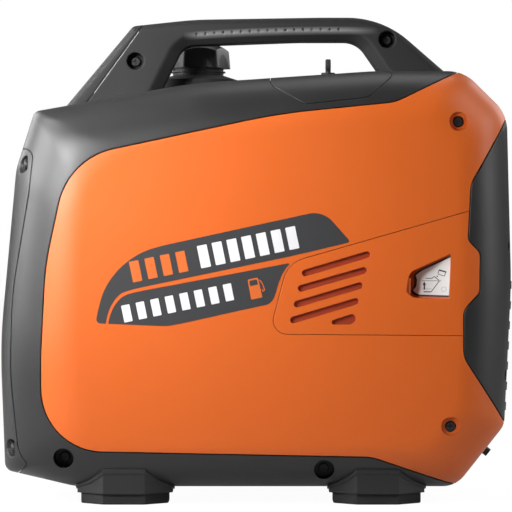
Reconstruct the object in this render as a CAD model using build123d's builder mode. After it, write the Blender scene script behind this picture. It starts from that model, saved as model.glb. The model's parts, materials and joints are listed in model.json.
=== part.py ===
"""Portable inverter generator: a suitcase-shaped case of two half shells around a small engine.

Millimetres. The origin is the middle of the footprint on the ground. +X points to the exhaust end,
-X to the control panel, -Y to the service side with the maintenance door, +Y to the starter side, +Z up.
"""

import os
from math import cos, radians, sin, sqrt

from build123d import *

# ---------------------------------------------------------------- driving dimensions
HALF_WIDTH = 142.0  # half of the case's width, along Y
CROWN_START = HALF_WIDTH - 54.0  # where the side starts to roll over towards its flat face
SKIN = 3.0  # thickness of an outer panel
LINER = 2.0  # thickness of the case wall behind a panel
SEAM = 0.9  # visible gap between two panels
FINE_SEAM = 0.5  # closer gap round the door, the front bezel and the spark plug cover
SPLIT_GAP = 0.3  # gap between the two halves of the case or of the handle
FIT = 0.3  # clearance of a piece in its seat
RUN = 0.05  # radial clearance of a shaft in its bore

FOOT_TOP = 10.0  # underside of the foot pods above the ground
CASE_BOTTOM = 14.5
FOOT_LENGTH = 89.0
FOOT_DEPTH = 74.0
FOOT_CORNER = 25.0
FOOT_X = (-122.5, 113.0)
FOOT_Y = HALF_WIDTH - 47.0
RUBBER_STEP = 3.5  # how far a rubber foot stands in from its pod

# Side views of the case as (x, z, corner radius): BELT at mid-width, FACE on the flat side.
BELT = [
    (-208.5, 367, 8), (-225.5, 313, 60), (-240.5, 150, 500), (-236, 30, 9), (-170, CASE_BOTTOM, 60),
    (188, CASE_BOTTOM, 26), (233.5, 72, 20), (240, 205, 500), (236, 364.5, 38), (195, 405, 36),
    (112, 405, 300), (-60, 393.5, 500),
]
FACE = [
    (-148, 318, 55), (-160, 262, 200), (-163, 130, 160), (-152, 60, 36), (-120, 57, 60),
    (156, 57, 24), (184, 90, 22), (186, 205, 300), (185, 326, 22), (162, 352, 18),
    (90, 354, 200), (-60, 340, 300),
]
CROWN_STEPS = (0, 0.35, 0.6, 0.8, 0.92, 1.0)

# Panel outlines in side view, as (x, z, corner radius). Points outside the case only close a shape.
PANEL = [
    (-173.5, 321, 66), (-195, 222, 250), (-199.3, 140, 250), (-199, 51, 58), (107, 45, 40),
    (230, 2, 0), (262, 31, 0), (192, 137, 24), (191.8, 181, 16), (207, 197, 9), (207.5, 234, 9),
    (196, 245.5, 9), (198.8, 298, 26), (262, 407, 0), (230, 423.5, 0), (129, 373.5, 40), (20, 362.5, 600),
]
REAR = PANEL[6:14] + [(300, 407, 0), (300, 31, 0)]
DOOR = [(29.5, 224.5, 26), (12, 158.8, 13), (262, 156.6, 0), (262, 291.2, 0)]
PLUG_COVER = [(13.5, 440, 0), (13.5, 390, 10), (45, 371.5, 12), (104, 378, 12), (126.5, 398, 6), (126.5, 440, 0)]
BEZEL = [
    (-300, 331, 0), (-207, 331, 9), (-211, 290, 80), (-227.5, 195, 300), (-229, 120, 300),
    (-221, 48, 26), (-212, 37, 4), (-224, 27, 0), (-300, 27, 0),
]
LOBE_EDGE = HALF_WIDTH - 72.0  # |y| where a side panel's corner lobe meets the rear cover
REAR_EDGE = 188.0  # x where the rear cover meets the case halves, between the lobes
PLUG_COVER_EDGE = -24.0  # y of the spark plug cover's inner edge
PLUG_HATCH = (26.0, 104.0, -108.0, -33.0)  # opening under that cover: x from, to, y from, to

DOOR_HATCH = [(36, 218, 16), (22.5, 162.5, 6), (184.5, 161.5, 10), (184.5, 259, 10)]
SLOT_HEIGHT = 6.2
DOOR_PAD = 3.0  # extra thickness behind the door's vent slots
SLOTS = [((45.6, 215.3), (102.6, 232.2)), ((41.9, 201.1), (99.4, 217.6)),
         ((38.1, 186.5), (95.6, 203.5)), ((34.8, 171.9), (91.9, 188.9))]
SHORT_SLOT = [(70, 167.6, 1.8), (88, 167.8, 4), (95, 173, 4), (89, 177.6, 3.5), (70, 171.4, 1.8)]
FINGER_CUP = [(180, 233, 1), (178.5, 191, 1), (146, 192.5, 6), (138.5, 197, 6), (142, 216, 9)]
CUP_DEPTH = 20.0
CUP_WALL = 2.0
LATCH_Z = 203.0
LATCH_TRAVEL = 3.0

SIDE_SCREWS = [(187.3, 355.5), (180.0, 73.4)]  # on each side panel
CASE_SCREWS = [(-178.3, 43.6), (63.2, 33.0)]  # deep wells low on each case half
CASE_WELL = 9.3
CASE_WELL_FLOOR = HALF_WIDTH - 36.0
BEZEL_SCREWS = [(-211.0, HALF_WIDTH - 31.0, 316.5), (-223.0, HALF_WIDTH - 31.0, 52.0)]  # floors, on both sides
BEZEL_WELL = 8.2
REAR_SCREWS = [(229.0, HALF_WIDTH - 40.0, 240.0), (227.5, HALF_WIDTH - 40.0, 120.0)]  # on both sides
SEAT_RING = 8.75
RING_WALL = 1.5
RING_SINK = 0.8  # how far a ring's face lies below the panel round it
RING_HEIGHT = 6.0
SEAT_BORE = 5.3
SEAT_FLOOR = 2.0
BOSS_WALL = 2.2
BOSS_DEPTH = 8.0
SCREW_SHANK = 2.4
SCREW_HEAD = 4.7
SCREW_HEAD_HEIGHT = 3.2
SCREW_LENGTH = 13.0
SCREW_HOLE = SCREW_SHANK + 0.15

# ---------------------------------------------------------------- handle
HANDLE_HALF = 21.0
HANDLE_ROUND = 6.5
HANDLE_BAND = (9.5, 7.0)  # bevel round the grip's opening: its width, and its depth along Y
HANDLE = [
    (-189.5, 368, 0), (-118.5, 452.8, 8), (-60, 459, 300), (60, 461, 300), (121.7, 461, 90),
    (190, 401.6, 0), (124, 400, 0), (97.5, 438.3, 24), (40, 438.3, 300), (-70, 434.3, 18), (-97.7, 378, 0),
]
HANDLE_CAP = [(-104.6, 459.5, 0), (-175, 362.7, 0), (-260, 362.7, 0), (-260, 475, 0), (-104.6, 475, 0)]
HANDLE_WELLS = [(-116.2, 418.8), (126.1, 439.5)]
HANDLE_WELL_RADIUS = 8.2
HANDLE_WELL_DEPTH = 12.0

# ---------------------------------------------------------------- fuel system
FILLER = (-57.2, 60.0)
NECK_RADIUS = 24.2
NECK_BORE = NECK_RADIUS - 3.0
NECK_TOP = 421.0
CAP_HEX = NECK_RADIUS + 8.5  # to the corners of the cap's six-sided grip
CAP_SKIRT = 416.0
CAP_TOP = 440.5
CAP_PLUG = 411.0
TRAY_RADIUS = NECK_RADIUS + 15.5
TANK = (-165.0, -14.0, -92.0, 100.0, 285.0, 362.0)  # x from, to, y from, to, z from, to
TANK_WALL = 2.5

# ---------------------------------------------------------------- engine
CRANK_Y = 5.0
CRANK_Z = 150.0
BASE_TOP = CASE_BOTTOM + SKIN + LINER + 3.0
PULLEY_X = -115.0
PULLEY_RADIUS = 30.0
ROPE_RADIUS = 2.0
ROPE_PITCH = 28.0
STARTER_Z = CRANK_Z + ROPE_PITCH
CYLINDER_TILT = 18.0
CYLINDER_BASE = (60.0, -10.0, 205.0)
OIL_FILLER = (60.0, 176.0)
EXHAUST = (30.0, 130.0)

# ---------------------------------------------------------------- control panel
PANEL_X = -222.0  # outer face of the control panel
PANEL_HALF_WIDTH = 88.0
PANEL_LOW = 54.0
PANEL_HIGH = 310.0
PANEL_CORNER = 14.0
RIM = 2.6


def inset_outline(corners, distance):
    """The outline moved inwards by distance, or outwards where it is negative."""
    points = [Vector(x, z) for x, z, _ in corners]
    count = len(points)
    twice_area = sum(points[i - 1].X * points[i].Y - points[i].X * points[i - 1].Y for i in range(count))
    turn = 1 if twice_area > 0 else -1
    moved = []
    for i, (x, z, radius) in enumerate(corners):
        before = (points[i] - points[i - 1]).normalized()
        after = (points[(i + 1) % count] - points[i]).normalized()
        normal_before = Vector(-before.Y, before.X) * turn
        normal_after = Vector(-after.Y, after.X) * turn
        shift = (normal_before + normal_after) * (distance / (1 + normal_before.dot(normal_after)))
        convex = (before.X * after.Y - before.Y * after.X) * turn > 0
        grown = radius - distance if convex else radius + distance
        moved.append((x + shift.X, z + shift.Y, max(grown, 0.5) if radius else 0))
    return moved


def outline_sketch(corners, y):
    """A face in side view at the given y, with each corner rounded by its own radius."""
    with BuildSketch(Plane.XZ.offset(-y), mode=Mode.PRIVATE) as side_view:
        with BuildLine():
            FilletPolyline(*[(x, z) for x, z, _ in corners], radius=[r for *_, r in corners], close=True)
        make_face()
    return side_view.sketch


def prism(corners, y_low, y_high):
    """The outline extruded across the case."""
    with BuildPart(mode=Mode.PRIVATE) as shape:
        add(outline_sketch(corners, y_high))
        extrude(amount=y_high - y_low, dir=(0, -1, 0))
    return shape.part


def block(x_low, x_high, y_low, y_high, z_low, z_high, round_edges=0.0):
    """A box between two corners, with its edges along Z rounded where asked."""
    with BuildPart(mode=Mode.PRIVATE) as box:
        with BuildSketch(Plane.XY.offset(z_low)):
            with Locations(((x_low + x_high) / 2, (y_low + y_high) / 2)):
                if round_edges:
                    RectangleRounded(x_high - x_low, y_high - y_low, round_edges)
                else:
                    Rectangle(x_high - x_low, y_high - y_low)
        extrude(amount=z_high - z_low)
    return box.part


def rod(start, end, radius):
    """A round bar from one point to another."""
    with BuildPart(mode=Mode.PRIVATE) as bar:
        with BuildSketch(Plane(origin=start, z_dir=Vector(*end) - Vector(*start))):
            Circle(radius)
        extrude(amount=(Vector(*end) - Vector(*start)).length)
    return bar.part


def body_solid(depth):
    """The whole case as one smooth solid, taken in by depth: an even belt and two crowned sides."""
    belt = inset_outline(BELT, depth)
    face = inset_outline(FACE, depth)
    half = HALF_WIDTH - depth

    def slice_at(rise, side):
        share = 1 - sqrt(1 - rise * rise)
        corners = [tuple(b + (f - b) * share for b, f in zip(p, q)) for p, q in zip(belt, face)]
        return outline_sketch(corners, side * (CROWN_START + (half - CROWN_START) * rise))

    with BuildPart(mode=Mode.PRIVATE) as body:
        add(outline_sketch(belt, CROWN_START))
        extrude(amount=2 * CROWN_START, dir=(0, -1, 0))
        for side in (-1, 1):
            loft([slice_at(rise, side) for rise in CROWN_STEPS])
    return body.part


def plan_prism(points, z_low, z_high):
    """A plan view polygon extruded upwards."""
    with BuildPart(mode=Mode.PRIVATE) as shape:
        with BuildSketch(Plane.XY.offset(z_low)):
            with BuildLine():
                Polyline(*points, close=True)
            make_face()
        extrude(amount=z_high - z_low)
    return shape.part


def surface_y(solid, x, z, side):
    """Where a line along Y meets the solid's side."""
    hits = solid.find_intersection_points(Axis((x, side * 400, z), (0, -side, 0)))
    return max((p.Y for p, _ in hits), key=lambda y: y * side)


def save(built, name):
    """Labels a finished piece and writes it to its own file."""
    built.part.label = name
    export_step(built.part, f"parts/{name}.step")
    print(name, round(built.part.volume), len(built.part.solids()), flush=True)


os.makedirs("parts", exist_ok=True)
OUTER = body_solid(0)
MIDDLE = body_solid(SKIN)
LOOSE = body_solid(SKIN - FIT)  # inner face of the pieces that lift off
INNER = body_solid(SKIN + LINER)
FAR = 200.0  # beyond the case's side
GROWN = -SEAM / 2
SHRUNK = SEAM / 2
FINE_GROWN = -FINE_SEAM / 2
FINE_SHRUNK = FINE_SEAM / 2

# ================================================================ screw seats
class Seat:
    """A screw seat: a boss on the case and, standing on it, the ring of the piece it holds."""

    def __init__(self, floor, outward, ring, bore):
        self.floor = Vector(*floor)
        self.out = Vector(*outward)
        self.ring = ring
        self.bore = bore

    def at(self, distance):
        return tuple(self.floor + self.out * distance)

    def boss(self):
        return rod(self.at(-BOSS_DEPTH), self.at(60), self.ring + FIT + BOSS_WALL)

    def relief(self):
        return rod(self.at(0), self.at(80), self.ring + FIT)

    def ring_body(self, length=60.0):
        return rod(self.at(0), self.at(length), self.ring)

    def recess(self, height, radius):
        return rod(self.at(height), self.at(80), radius)

    def counterbore(self):
        return rod(self.at(SEAT_FLOOR), self.at(80), self.bore)

    def shank_hole(self):
        return rod(self.at(-BOSS_DEPTH - 4), self.at(80), SCREW_HOLE)

    def screw(self):
        with BuildPart(mode=Mode.PRIVATE) as screw:
            with BuildSketch(Plane(origin=self.at(SEAT_FLOOR), z_dir=tuple(self.out))):
                Circle(SCREW_HEAD)
            extrude(amount=SCREW_HEAD_HEIGHT)
            top = screw.faces().sort_by(Axis(tuple(self.floor), tuple(self.out)))[-1]
            fillet(top.edges(), 1.2)
            with BuildSketch(Plane(origin=self.at(SEAT_FLOOR + SCREW_HEAD_HEIGHT), z_dir=tuple(self.out))):
                Rectangle(5.4, 1.1)
                Rectangle(1.1, 5.4)
            extrude(amount=-1.7, mode=Mode.SUBTRACT)
            with BuildSketch(Plane(origin=self.at(SEAT_FLOOR), z_dir=tuple(-self.out))):
                Circle(SCREW_SHANK)
            extrude(amount=SCREW_LENGTH)
        return screw.part


def ring_top(x, z):
    """Distance from mid-width of a ring's face, which lies below the side all round it."""
    turns = [radians(45 * i) for i in range(8)]
    around = [surface_y(OUTER, x + SEAT_RING * cos(turn), z + SEAT_RING * sin(turn), 1) for turn in turns]
    return min(around) - RING_SINK


side_seats = [Seat((x, side * (ring_top(x, z) - RING_HEIGHT), z), (0, side, 0), SEAT_RING + RING_WALL, SEAT_BORE)
              for side in (-1, 1) for x, z in SIDE_SCREWS]
bezel_seats = [Seat((x, side * y, z), (-1, 0, 0), BEZEL_WELL + BOSS_WALL, BEZEL_WELL)
               for side in (-1, 1) for x, y, z in BEZEL_SCREWS]
rear_seats = [Seat((x, side * y, z), (1, 0, 0), SEAT_RING, SEAT_BORE)
              for side in (-1, 1) for x, y, z in REAR_SCREWS]

# ================================================================ case shells
REAR_MIDDLE = block(REAR_EDGE, 300, -LOBE_EDGE, LOBE_EDGE, 0, 440)
REAR_MIDDLE_GROWN = block(REAR_EDGE - SEAM, 300, -LOBE_EDGE - SEAM / 2, LOBE_EDGE + SEAM / 2, 0, 440)
REAR_WINDOW = block(200, 300, -96, 96, 72, 344)
FRONT_WINDOW = block(-300, -196, -PANEL_HALF_WIDTH - RIM - FIT, PANEL_HALF_WIDTH + RIM + FIT,
                     PANEL_LOW - RIM - FIT, PANEL_HIGH + RIM + FIT)
RECESS_HALF_X = 47.0  # starter recess, outside half length
RECESS_HALF_Z = 24.0
RECESS_FLOOR_Y = HALF_WIDTH - 30.0
RECESS_CORNER = 14.0
RECESS_ROOM = 8.0  # free room round the recess in the case wall behind its panel


def starter_hole(grow, y_low):
    """The rounded opening for the starter recess, on the +Y side."""
    x_half = RECESS_HALF_X + grow
    z_half = RECESS_HALF_Z + grow
    corner = RECESS_CORNER + grow
    corners = [(PULLEY_X + sx * x_half, STARTER_Z + sz * z_half, corner)
               for sx, sz in ((-1, -1), (1, -1), (1, 1), (-1, 1))]
    return prism(corners, y_low, FAR)


def case_half(side):
    """One half shell: full wall where it shows, thin liner behind the panels that screw onto it."""
    y_low, y_high = (-FAR, -SPLIT_GAP / 2) if side < 0 else (SPLIT_GAP / 2, FAR)
    lobe = LOBE_EDGE - SEAM / 2
    panel_span = (-FAR, -lobe) if side < 0 else (lobe, FAR)
    with BuildPart() as half:
        add(OUTER)
        add(INNER, mode=Mode.SUBTRACT)
        add(block(-300, 300, y_low, y_high, -50, 500), mode=Mode.INTERSECT)
        add(prism(inset_outline(PANEL, GROWN), *panel_span) - MIDDLE, mode=Mode.SUBTRACT)
        add(prism(inset_outline(REAR, GROWN), -FAR, FAR) - MIDDLE, mode=Mode.SUBTRACT)
        add(REAR_MIDDLE_GROWN - MIDDLE, mode=Mode.SUBTRACT)
        add(prism(inset_outline(BEZEL, FINE_GROWN), -FAR, FAR) - MIDDLE, mode=Mode.SUBTRACT)
        add(REAR_WINDOW, mode=Mode.SUBTRACT)
        add(FRONT_WINDOW, mode=Mode.SUBTRACT)
        if side < 0:
            cover_place = prism(inset_outline(PLUG_COVER, FINE_GROWN), -FAR, PLUG_COVER_EDGE + FINE_SEAM)
            add(cover_place - MIDDLE, mode=Mode.SUBTRACT)
            add(block(*PLUG_HATCH, 370, 440), mode=Mode.SUBTRACT)
            add(prism(DOOR_HATCH, -FAR, -100), mode=Mode.SUBTRACT)
        else:
            add(rod((*FILLER, 340), (*FILLER, 450), NECK_RADIUS + FIT), mode=Mode.SUBTRACT)
            add(starter_hole(RECESS_ROOM, 100), mode=Mode.SUBTRACT)
        for x, z in CASE_SCREWS:
            floor = side * (CASE_WELL_FLOOR - SEAT_FLOOR)
            add(rod((x, floor, z), (x, side * FAR, z), CASE_WELL + BOSS_WALL) & OUTER)
            add(rod((x, side * CASE_WELL_FLOOR, z), (x, side * FAR, z), CASE_WELL), mode=Mode.SUBTRACT)
            add(rod((x, side * 90, z), (x, side * FAR, z), SCREW_HOLE), mode=Mode.SUBTRACT)
        for seat in side_seats + bezel_seats + rear_seats:
            if seat.floor.Y * side > 0:
                add(seat.boss() & MIDDLE)
                add(seat.relief(), mode=Mode.SUBTRACT)
                add(seat.shank_hole(), mode=Mode.SUBTRACT)
    return half


case_half_service = case_half(-1)
save(case_half_service, "case_half_service")
case_half_starter = case_half(1)
save(case_half_starter, "case_half_starter")

# ================================================================ outer panels
def side_panel(side):
    """The large side panel in one moulding, with its screw rings."""
    span = (-FAR, -LOBE_EDGE - SEAM / 2) if side < 0 else (LOBE_EDGE + SEAM / 2, FAR)
    with BuildPart() as panel:
        add(OUTER)
        add(MIDDLE, mode=Mode.SUBTRACT)
        add(prism(inset_outline(PANEL, SHRUNK), *span), mode=Mode.INTERSECT)
        for seat in side_seats:
            if seat.floor.Y * side > 0:
                add(seat.ring_body() & OUTER)
                add(seat.recess(RING_HEIGHT, SEAT_RING), mode=Mode.SUBTRACT)
                add(seat.counterbore(), mode=Mode.SUBTRACT)
                add(seat.shank_hole(), mode=Mode.SUBTRACT)
    return panel


with BuildPart() as service_side_panel:
    add(side_panel(-1).part)
    add(prism(inset_outline(DOOR, FINE_GROWN), -FAR, -100), mode=Mode.SUBTRACT)
save(service_side_panel, "service_side_panel")

with BuildPart() as starter_side_panel:
    add(side_panel(1).part)
    add(starter_hole(FIT, 100), mode=Mode.SUBTRACT)
save(starter_side_panel, "starter_side_panel")

DOOR_INSIDE = HALF_WIDTH - SKIN - DOOR_PAD


def slot_outline(start, end):
    """Corners of a slot with round ends, around its centre line."""
    radius = SLOT_HEIGHT / 2
    along = (end - start).normalized() * radius
    across = Vector(-along.Y, along.X)
    corners = [start - along - across, end + along - across, end + along + across, start - along + across]
    return [(corner.X, corner.Y, radius - 0.01) for corner in corners]


def under(depth):
    """The y at a depth below the flat face of the service side."""
    return depth - HALF_WIDTH


RAMP = [(139.5, under(18.0)), (180.5, under(1.8))]  # the grip's sloping floor, as (x, y)
grip_air = plan_prism([(120, -FAR), (190, -FAR), (190, RAMP[1][1]), RAMP[1], RAMP[0], (120, RAMP[0][1])], 180, 250)
grip_wall = plan_prism([(120, -HALF_WIDTH), (186, -HALF_WIDTH), (186, CUP_WALL + RAMP[1][1])]
                       + [(x, CUP_WALL + y) for x, y in reversed(RAMP)] + [(120, CUP_WALL + RAMP[0][1])], 180, 250)
grip_pocket = prism(FINGER_CUP, -FAR, -100) & grip_air
latch_slot = block(128, 146, under(4.8), under(15.2), LATCH_Z - 8.2, LATCH_Z + 8.2)

with BuildPart() as maintenance_door:
    add(OUTER)
    add(LOOSE, mode=Mode.SUBTRACT)
    add(prism(inset_outline(PANEL, SHRUNK), -FAR, -LOBE_EDGE), mode=Mode.INTERSECT)
    add(prism(inset_outline(DOOR, FINE_SHRUNK), -FAR, -LOBE_EDGE), mode=Mode.INTERSECT)
    add(prism(inset_outline(DOOR_HATCH, 1.0), -HALF_WIDTH + SKIN / 2, -DOOR_INSIDE))
    for start, end in SLOTS:
        add(prism(slot_outline(Vector(*start), Vector(*end)), -FAR, -100), mode=Mode.SUBTRACT)
    add(prism(SHORT_SLOT, -FAR, -100), mode=Mode.SUBTRACT)
    add(prism(inset_outline(FINGER_CUP, -CUP_WALL), -HALF_WIDTH, -100) & grip_wall)
    add(grip_pocket, mode=Mode.SUBTRACT)
    add(latch_slot, mode=Mode.SUBTRACT)
save(maintenance_door, "maintenance_door")

CHAMFER_OUT = (0.784, 0, -0.621)
STOP_ROOT = (213.1, -60, 50.1)  # small bump stop on the lower chamfer
PROUD = body_solid(-0.8)  # how far the louvres stand out
REAR_FINS = [(z, -86.0, 86.0 if abs(z - EXHAUST[1]) > 45 else -10.0) for z in range(84, 204, 19)]
with BuildPart() as rear_cover:
    add(prism(inset_outline(REAR, SHRUNK), -FAR, FAR))
    add(block(REAR_EDGE, 300, -LOBE_EDGE + SEAM / 2, LOBE_EDGE - SEAM / 2, 0, 440))
    add(OUTER - MIDDLE, mode=Mode.INTERSECT)
    add((rod((200, *EXHAUST), (300, *EXHAUST), 33) & OUTER) - MIDDLE)
    for z, y_low, y_high in REAR_FINS:
        add((block(200, 300, y_low - 4, y_high + 4, z + 2, z + 9.5) & PROUD) - MIDDLE)
        add(block(200, 300, y_low, y_high, z - 6, z + 3.5), mode=Mode.SUBTRACT)
    add(rod((200, *EXHAUST), (300, *EXHAUST), 28), mode=Mode.SUBTRACT)
    with BuildSketch(Plane(origin=STOP_ROOT, x_dir=(0, 1, 0), z_dir=CHAMFER_OUT)):
        RectangleRounded(9, 8, 2.4)
    extrude(amount=9.5)
    for seat in rear_seats:
        add(seat.ring_body() & OUTER)
        add(seat.counterbore(), mode=Mode.SUBTRACT)
        add(seat.shank_hole(), mode=Mode.SUBTRACT)
save(rear_cover, "rear_cover")

with BuildPart() as front_bezel:
    add(prism(inset_outline(BEZEL, FINE_SHRUNK), -FAR, FAR))
    add(OUTER - MIDDLE, mode=Mode.INTERSECT)
    add(block(-300, PANEL_X + 4, -PANEL_HALF_WIDTH - RIM, PANEL_HALF_WIDTH + RIM, PANEL_LOW - RIM, PANEL_HIGH + RIM)
        & OUTER)
    with BuildSketch(Plane.YZ.offset(-300)):
        with Locations((0, (PANEL_LOW + PANEL_HIGH) / 2)):
            RectangleRounded(2 * PANEL_HALF_WIDTH - 6, PANEL_HIGH - PANEL_LOW - 6, PANEL_CORNER)
    extrude(amount=100, mode=Mode.SUBTRACT)
    add(block(PANEL_X, -200, -PANEL_HALF_WIDTH, PANEL_HALF_WIDTH, PANEL_LOW, PANEL_HIGH), mode=Mode.SUBTRACT)
    for seat in bezel_seats:
        add(seat.ring_body() & OUTER)
        add(seat.counterbore(), mode=Mode.SUBTRACT)
        add(seat.shank_hole(), mode=Mode.SUBTRACT)
save(front_bezel, "front_bezel")

with BuildPart() as spark_plug_cover:
    add(OUTER - LOOSE)
    add(prism(inset_outline(PLUG_COVER, FINE_SHRUNK), -FAR, PLUG_COVER_EDGE), mode=Mode.INTERSECT)
    x_low, x_high, y_low, y_high = PLUG_HATCH
    skirt = block(x_low + 1, x_high - 1, y_low + 1, y_high - 1, 384, 401)
    skirt -= block(x_low + 3, x_high - 3, y_low + 3, y_high - 3, 384, 401)
    add(skirt & LOOSE)
    add(rod((68.5, -60, 380), (68.5, -60, 410), 2.6), mode=Mode.SUBTRACT)
save(spark_plug_cover, "spark_plug_cover")

# ================================================================ top of the case
def opening_bevel(side):
    """The air in front of the sloping band round the handle's opening."""
    width, depth = HANDLE_BAND
    opening = HANDLE[6:]
    over = 1.0
    slope = width / depth
    outer = outline_sketch(inset_outline(opening, -width - over * slope), side * (HANDLE_HALF + over))
    inner = outline_sketch(inset_outline(opening, over * slope), side * (HANDLE_HALF - depth - over))
    with BuildPart(mode=Mode.PRIVATE) as bevel:
        loft([inner, outer], ruled=True)
    return bevel.part


def handle_half(side):
    """One half of the carrying handle, with its end cap's place left free."""
    y_low, y_high = (-HANDLE_HALF, -SPLIT_GAP / 2) if side < 0 else (SPLIT_GAP / 2, HANDLE_HALF)
    with BuildPart() as half:
        add(prism(HANDLE, y_low, y_high))
        add(opening_bevel(side), mode=Mode.SUBTRACT)
        fillet(half.faces().sort_by(Axis.Y)[0 if side < 0 else -1].edges(), HANDLE_ROUND)
        add(OUTER, mode=Mode.SUBTRACT)
        add(prism(inset_outline(HANDLE_CAP, GROWN), -60, 60), mode=Mode.SUBTRACT)
        for x, z in HANDLE_WELLS:
            floor = side * (HANDLE_HALF - HANDLE_WELL_DEPTH)
            add(rod((x, floor, z), (x, side * 40, z), HANDLE_WELL_RADIUS), mode=Mode.SUBTRACT)
            add(rod((x, side * -1, z), (x, side * 40, z), SCREW_HOLE), mode=Mode.SUBTRACT)
        for i in range(17):
            x = -57 + i * 8.55
            z = 449.3 - 4.6 * ((80 - x) / 137) ** 2
            add(rod((x, side * (HANDLE_HALF - 1.4), z), (x, side * 40, z), 1.2), mode=Mode.SUBTRACT)
    return half


handle_half_service = handle_half(-1)
save(handle_half_service, "handle_half_service")
handle_half_starter = handle_half(1)
save(handle_half_starter, "handle_half_starter")

with BuildPart() as handle_end_cap:
    add(prism(HANDLE, -HANDLE_HALF, HANDLE_HALF))
    fillet(handle_end_cap.faces().sort_by(Axis.Y)[0].edges(), HANDLE_ROUND)
    fillet(handle_end_cap.faces().sort_by(Axis.Y)[-1].edges(), HANDLE_ROUND)
    add(OUTER, mode=Mode.SUBTRACT)
    add(prism(inset_outline(HANDLE_CAP, 0), -60, 60), mode=Mode.INTERSECT)
save(handle_end_cap, "handle_end_cap")

with BuildPart() as plug_cover_pull:
    with BuildSketch(Plane.YZ.offset(66)):
        with Locations((-60, 412)):
            Circle(6)
            Circle(3.2, mode=Mode.SUBTRACT)
    extrude(amount=5)
    fillet(plug_cover_pull.edges().filter_by(GeomType.CIRCLE), 1.2)
    add(rod((68.5, -60, 396), (68.5, -60, 407.5), 2.55))
    add(rod((68.5, -60, 402.1), (68.5, -60, 405), 6.5))
    add(OUTER & block(60, 80, -70, -50, 399.5, 403), mode=Mode.SUBTRACT)
    add(rod((68.5, -60, 396), (68.5, -60, 404), 2.55))
save(plug_cover_pull, "plug_cover_pull")

neck_x, neck_y = FILLER
with BuildPart() as fuel_tank:
    x_low, x_high, y_low, y_high, z_low, z_high = TANK
    add(block(x_low, x_high, y_low, y_high, z_low, z_high, 22))
    fillet(fuel_tank.faces().sort_by(Axis.Z)[-1].edges(), 6)
    fillet(fuel_tank.faces().sort_by(Axis.Z)[0].edges(), 6)
    wall = TANK_WALL
    add(block(x_low + wall, x_high - wall, y_low + wall, y_high - wall, z_low + wall, z_high - wall, 19.5),
        mode=Mode.SUBTRACT)
    add(rod((neck_x, neck_y, z_high - 12), (neck_x, neck_y, z_high + 1), NECK_BORE), mode=Mode.SUBTRACT)
    add(rod((x_high - 5, 20, 295), (x_high + 1, 20, 295), 3), mode=Mode.SUBTRACT)
save(fuel_tank, "fuel_tank")

with BuildPart() as filler_neck:
    add(rod((neck_x, neck_y, TANK[5]), (neck_x, neck_y, NECK_TOP), NECK_RADIUS))
    add(rod((neck_x, neck_y, TANK[5]), (neck_x, neck_y, TANK[5] + 2.5), NECK_RADIUS + 6))
    for z, proud in ((409.9, 0.9), (411.9, 2.8), (414.2, 0.9), (418, 0.9)):
        add(rod((neck_x, neck_y, z), (neck_x, neck_y, z + 1.2), NECK_RADIUS + proud))
    add(rod((neck_x, neck_y, TANK[5] - 1), (neck_x, neck_y, NECK_TOP + 1), NECK_BORE), mode=Mode.SUBTRACT)
save(filler_neck, "filler_neck")

STRAINER_RADIUS = NECK_BORE - 3.5
with BuildPart() as fuel_strainer:
    add(rod((neck_x, neck_y, 372), (neck_x, neck_y, 408), STRAINER_RADIUS))
    add(rod((neck_x, neck_y, 406.5), (neck_x, neck_y, 408), NECK_BORE))
    add(rod((neck_x, neck_y, 373.2), (neck_x, neck_y, 409), STRAINER_RADIUS - 1.2), mode=Mode.SUBTRACT)
    for i in range(10):
        turn = radians(36 * i)
        end = (neck_x + NECK_BORE * cos(turn), neck_y + NECK_BORE * sin(turn))
        for z in (379, 387, 395):
            add(rod((neck_x, neck_y, z), (*end, z), 2.2), mode=Mode.SUBTRACT)
save(fuel_strainer, "fuel_strainer")

with BuildPart() as fuel_cap_gasket:
    with BuildSketch(Plane.XY.offset(NECK_TOP)):
        with Locations(FILLER):
            Circle(NECK_RADIUS)
            Circle(NECK_BORE + 0.5, mode=Mode.SUBTRACT)
    extrude(amount=2)
save(fuel_cap_gasket, "fuel_cap_gasket")

CAP_DOME = 50.0  # radius of the cap's domed top
CAP_HOLLOW = 60.0  # radius of the shallow hollows in its six sides
CAP_HOLLOW_AXIS = CAP_HEX * cos(radians(30)) + CAP_HOLLOW - 1.16
CAP_TURN = 5  # degrees the closed cap stands turned from square
with BuildPart() as fuel_cap:
    with BuildSketch(Plane.XY.offset(CAP_SKIRT)) as grip:
        with Locations(FILLER):
            RegularPolygon(CAP_HEX, 6, rotation=CAP_TURN)
        fillet(grip.vertices(), 5)
    extrude(amount=CAP_TOP - CAP_SKIRT, taper=5)
    for i in range(6):
        turn = radians(60 * i + 30 + CAP_TURN)
        spot = (neck_x + CAP_HOLLOW_AXIS * cos(turn), neck_y + CAP_HOLLOW_AXIS * sin(turn))
        add(rod((*spot, CAP_SKIRT - 1), (*spot, CAP_TOP + 1), CAP_HOLLOW), mode=Mode.SUBTRACT)
    with Locations((neck_x, neck_y, CAP_TOP + 2.8 - CAP_DOME)):
        Sphere(CAP_DOME, rotation=(0, 0, 37), mode=Mode.INTERSECT)
    mouth = rod((neck_x, neck_y, CAP_SKIRT - 1), (neck_x, neck_y, NECK_TOP + 2), NECK_RADIUS + 1.2)
    add(mouth, mode=Mode.SUBTRACT)
    add(rod((neck_x, neck_y, CAP_PLUG), (neck_x, neck_y, NECK_TOP + 3), NECK_BORE - RUN))
    dome_edges = fuel_cap.edges().filter_by(lambda edge: CAP_TOP - 12 < edge.center().Z < CAP_TOP)
    fillet(dome_edges.filter_by(GeomType.LINE, reverse=True), 1.2)
save(fuel_cap, "fuel_cap")

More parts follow.
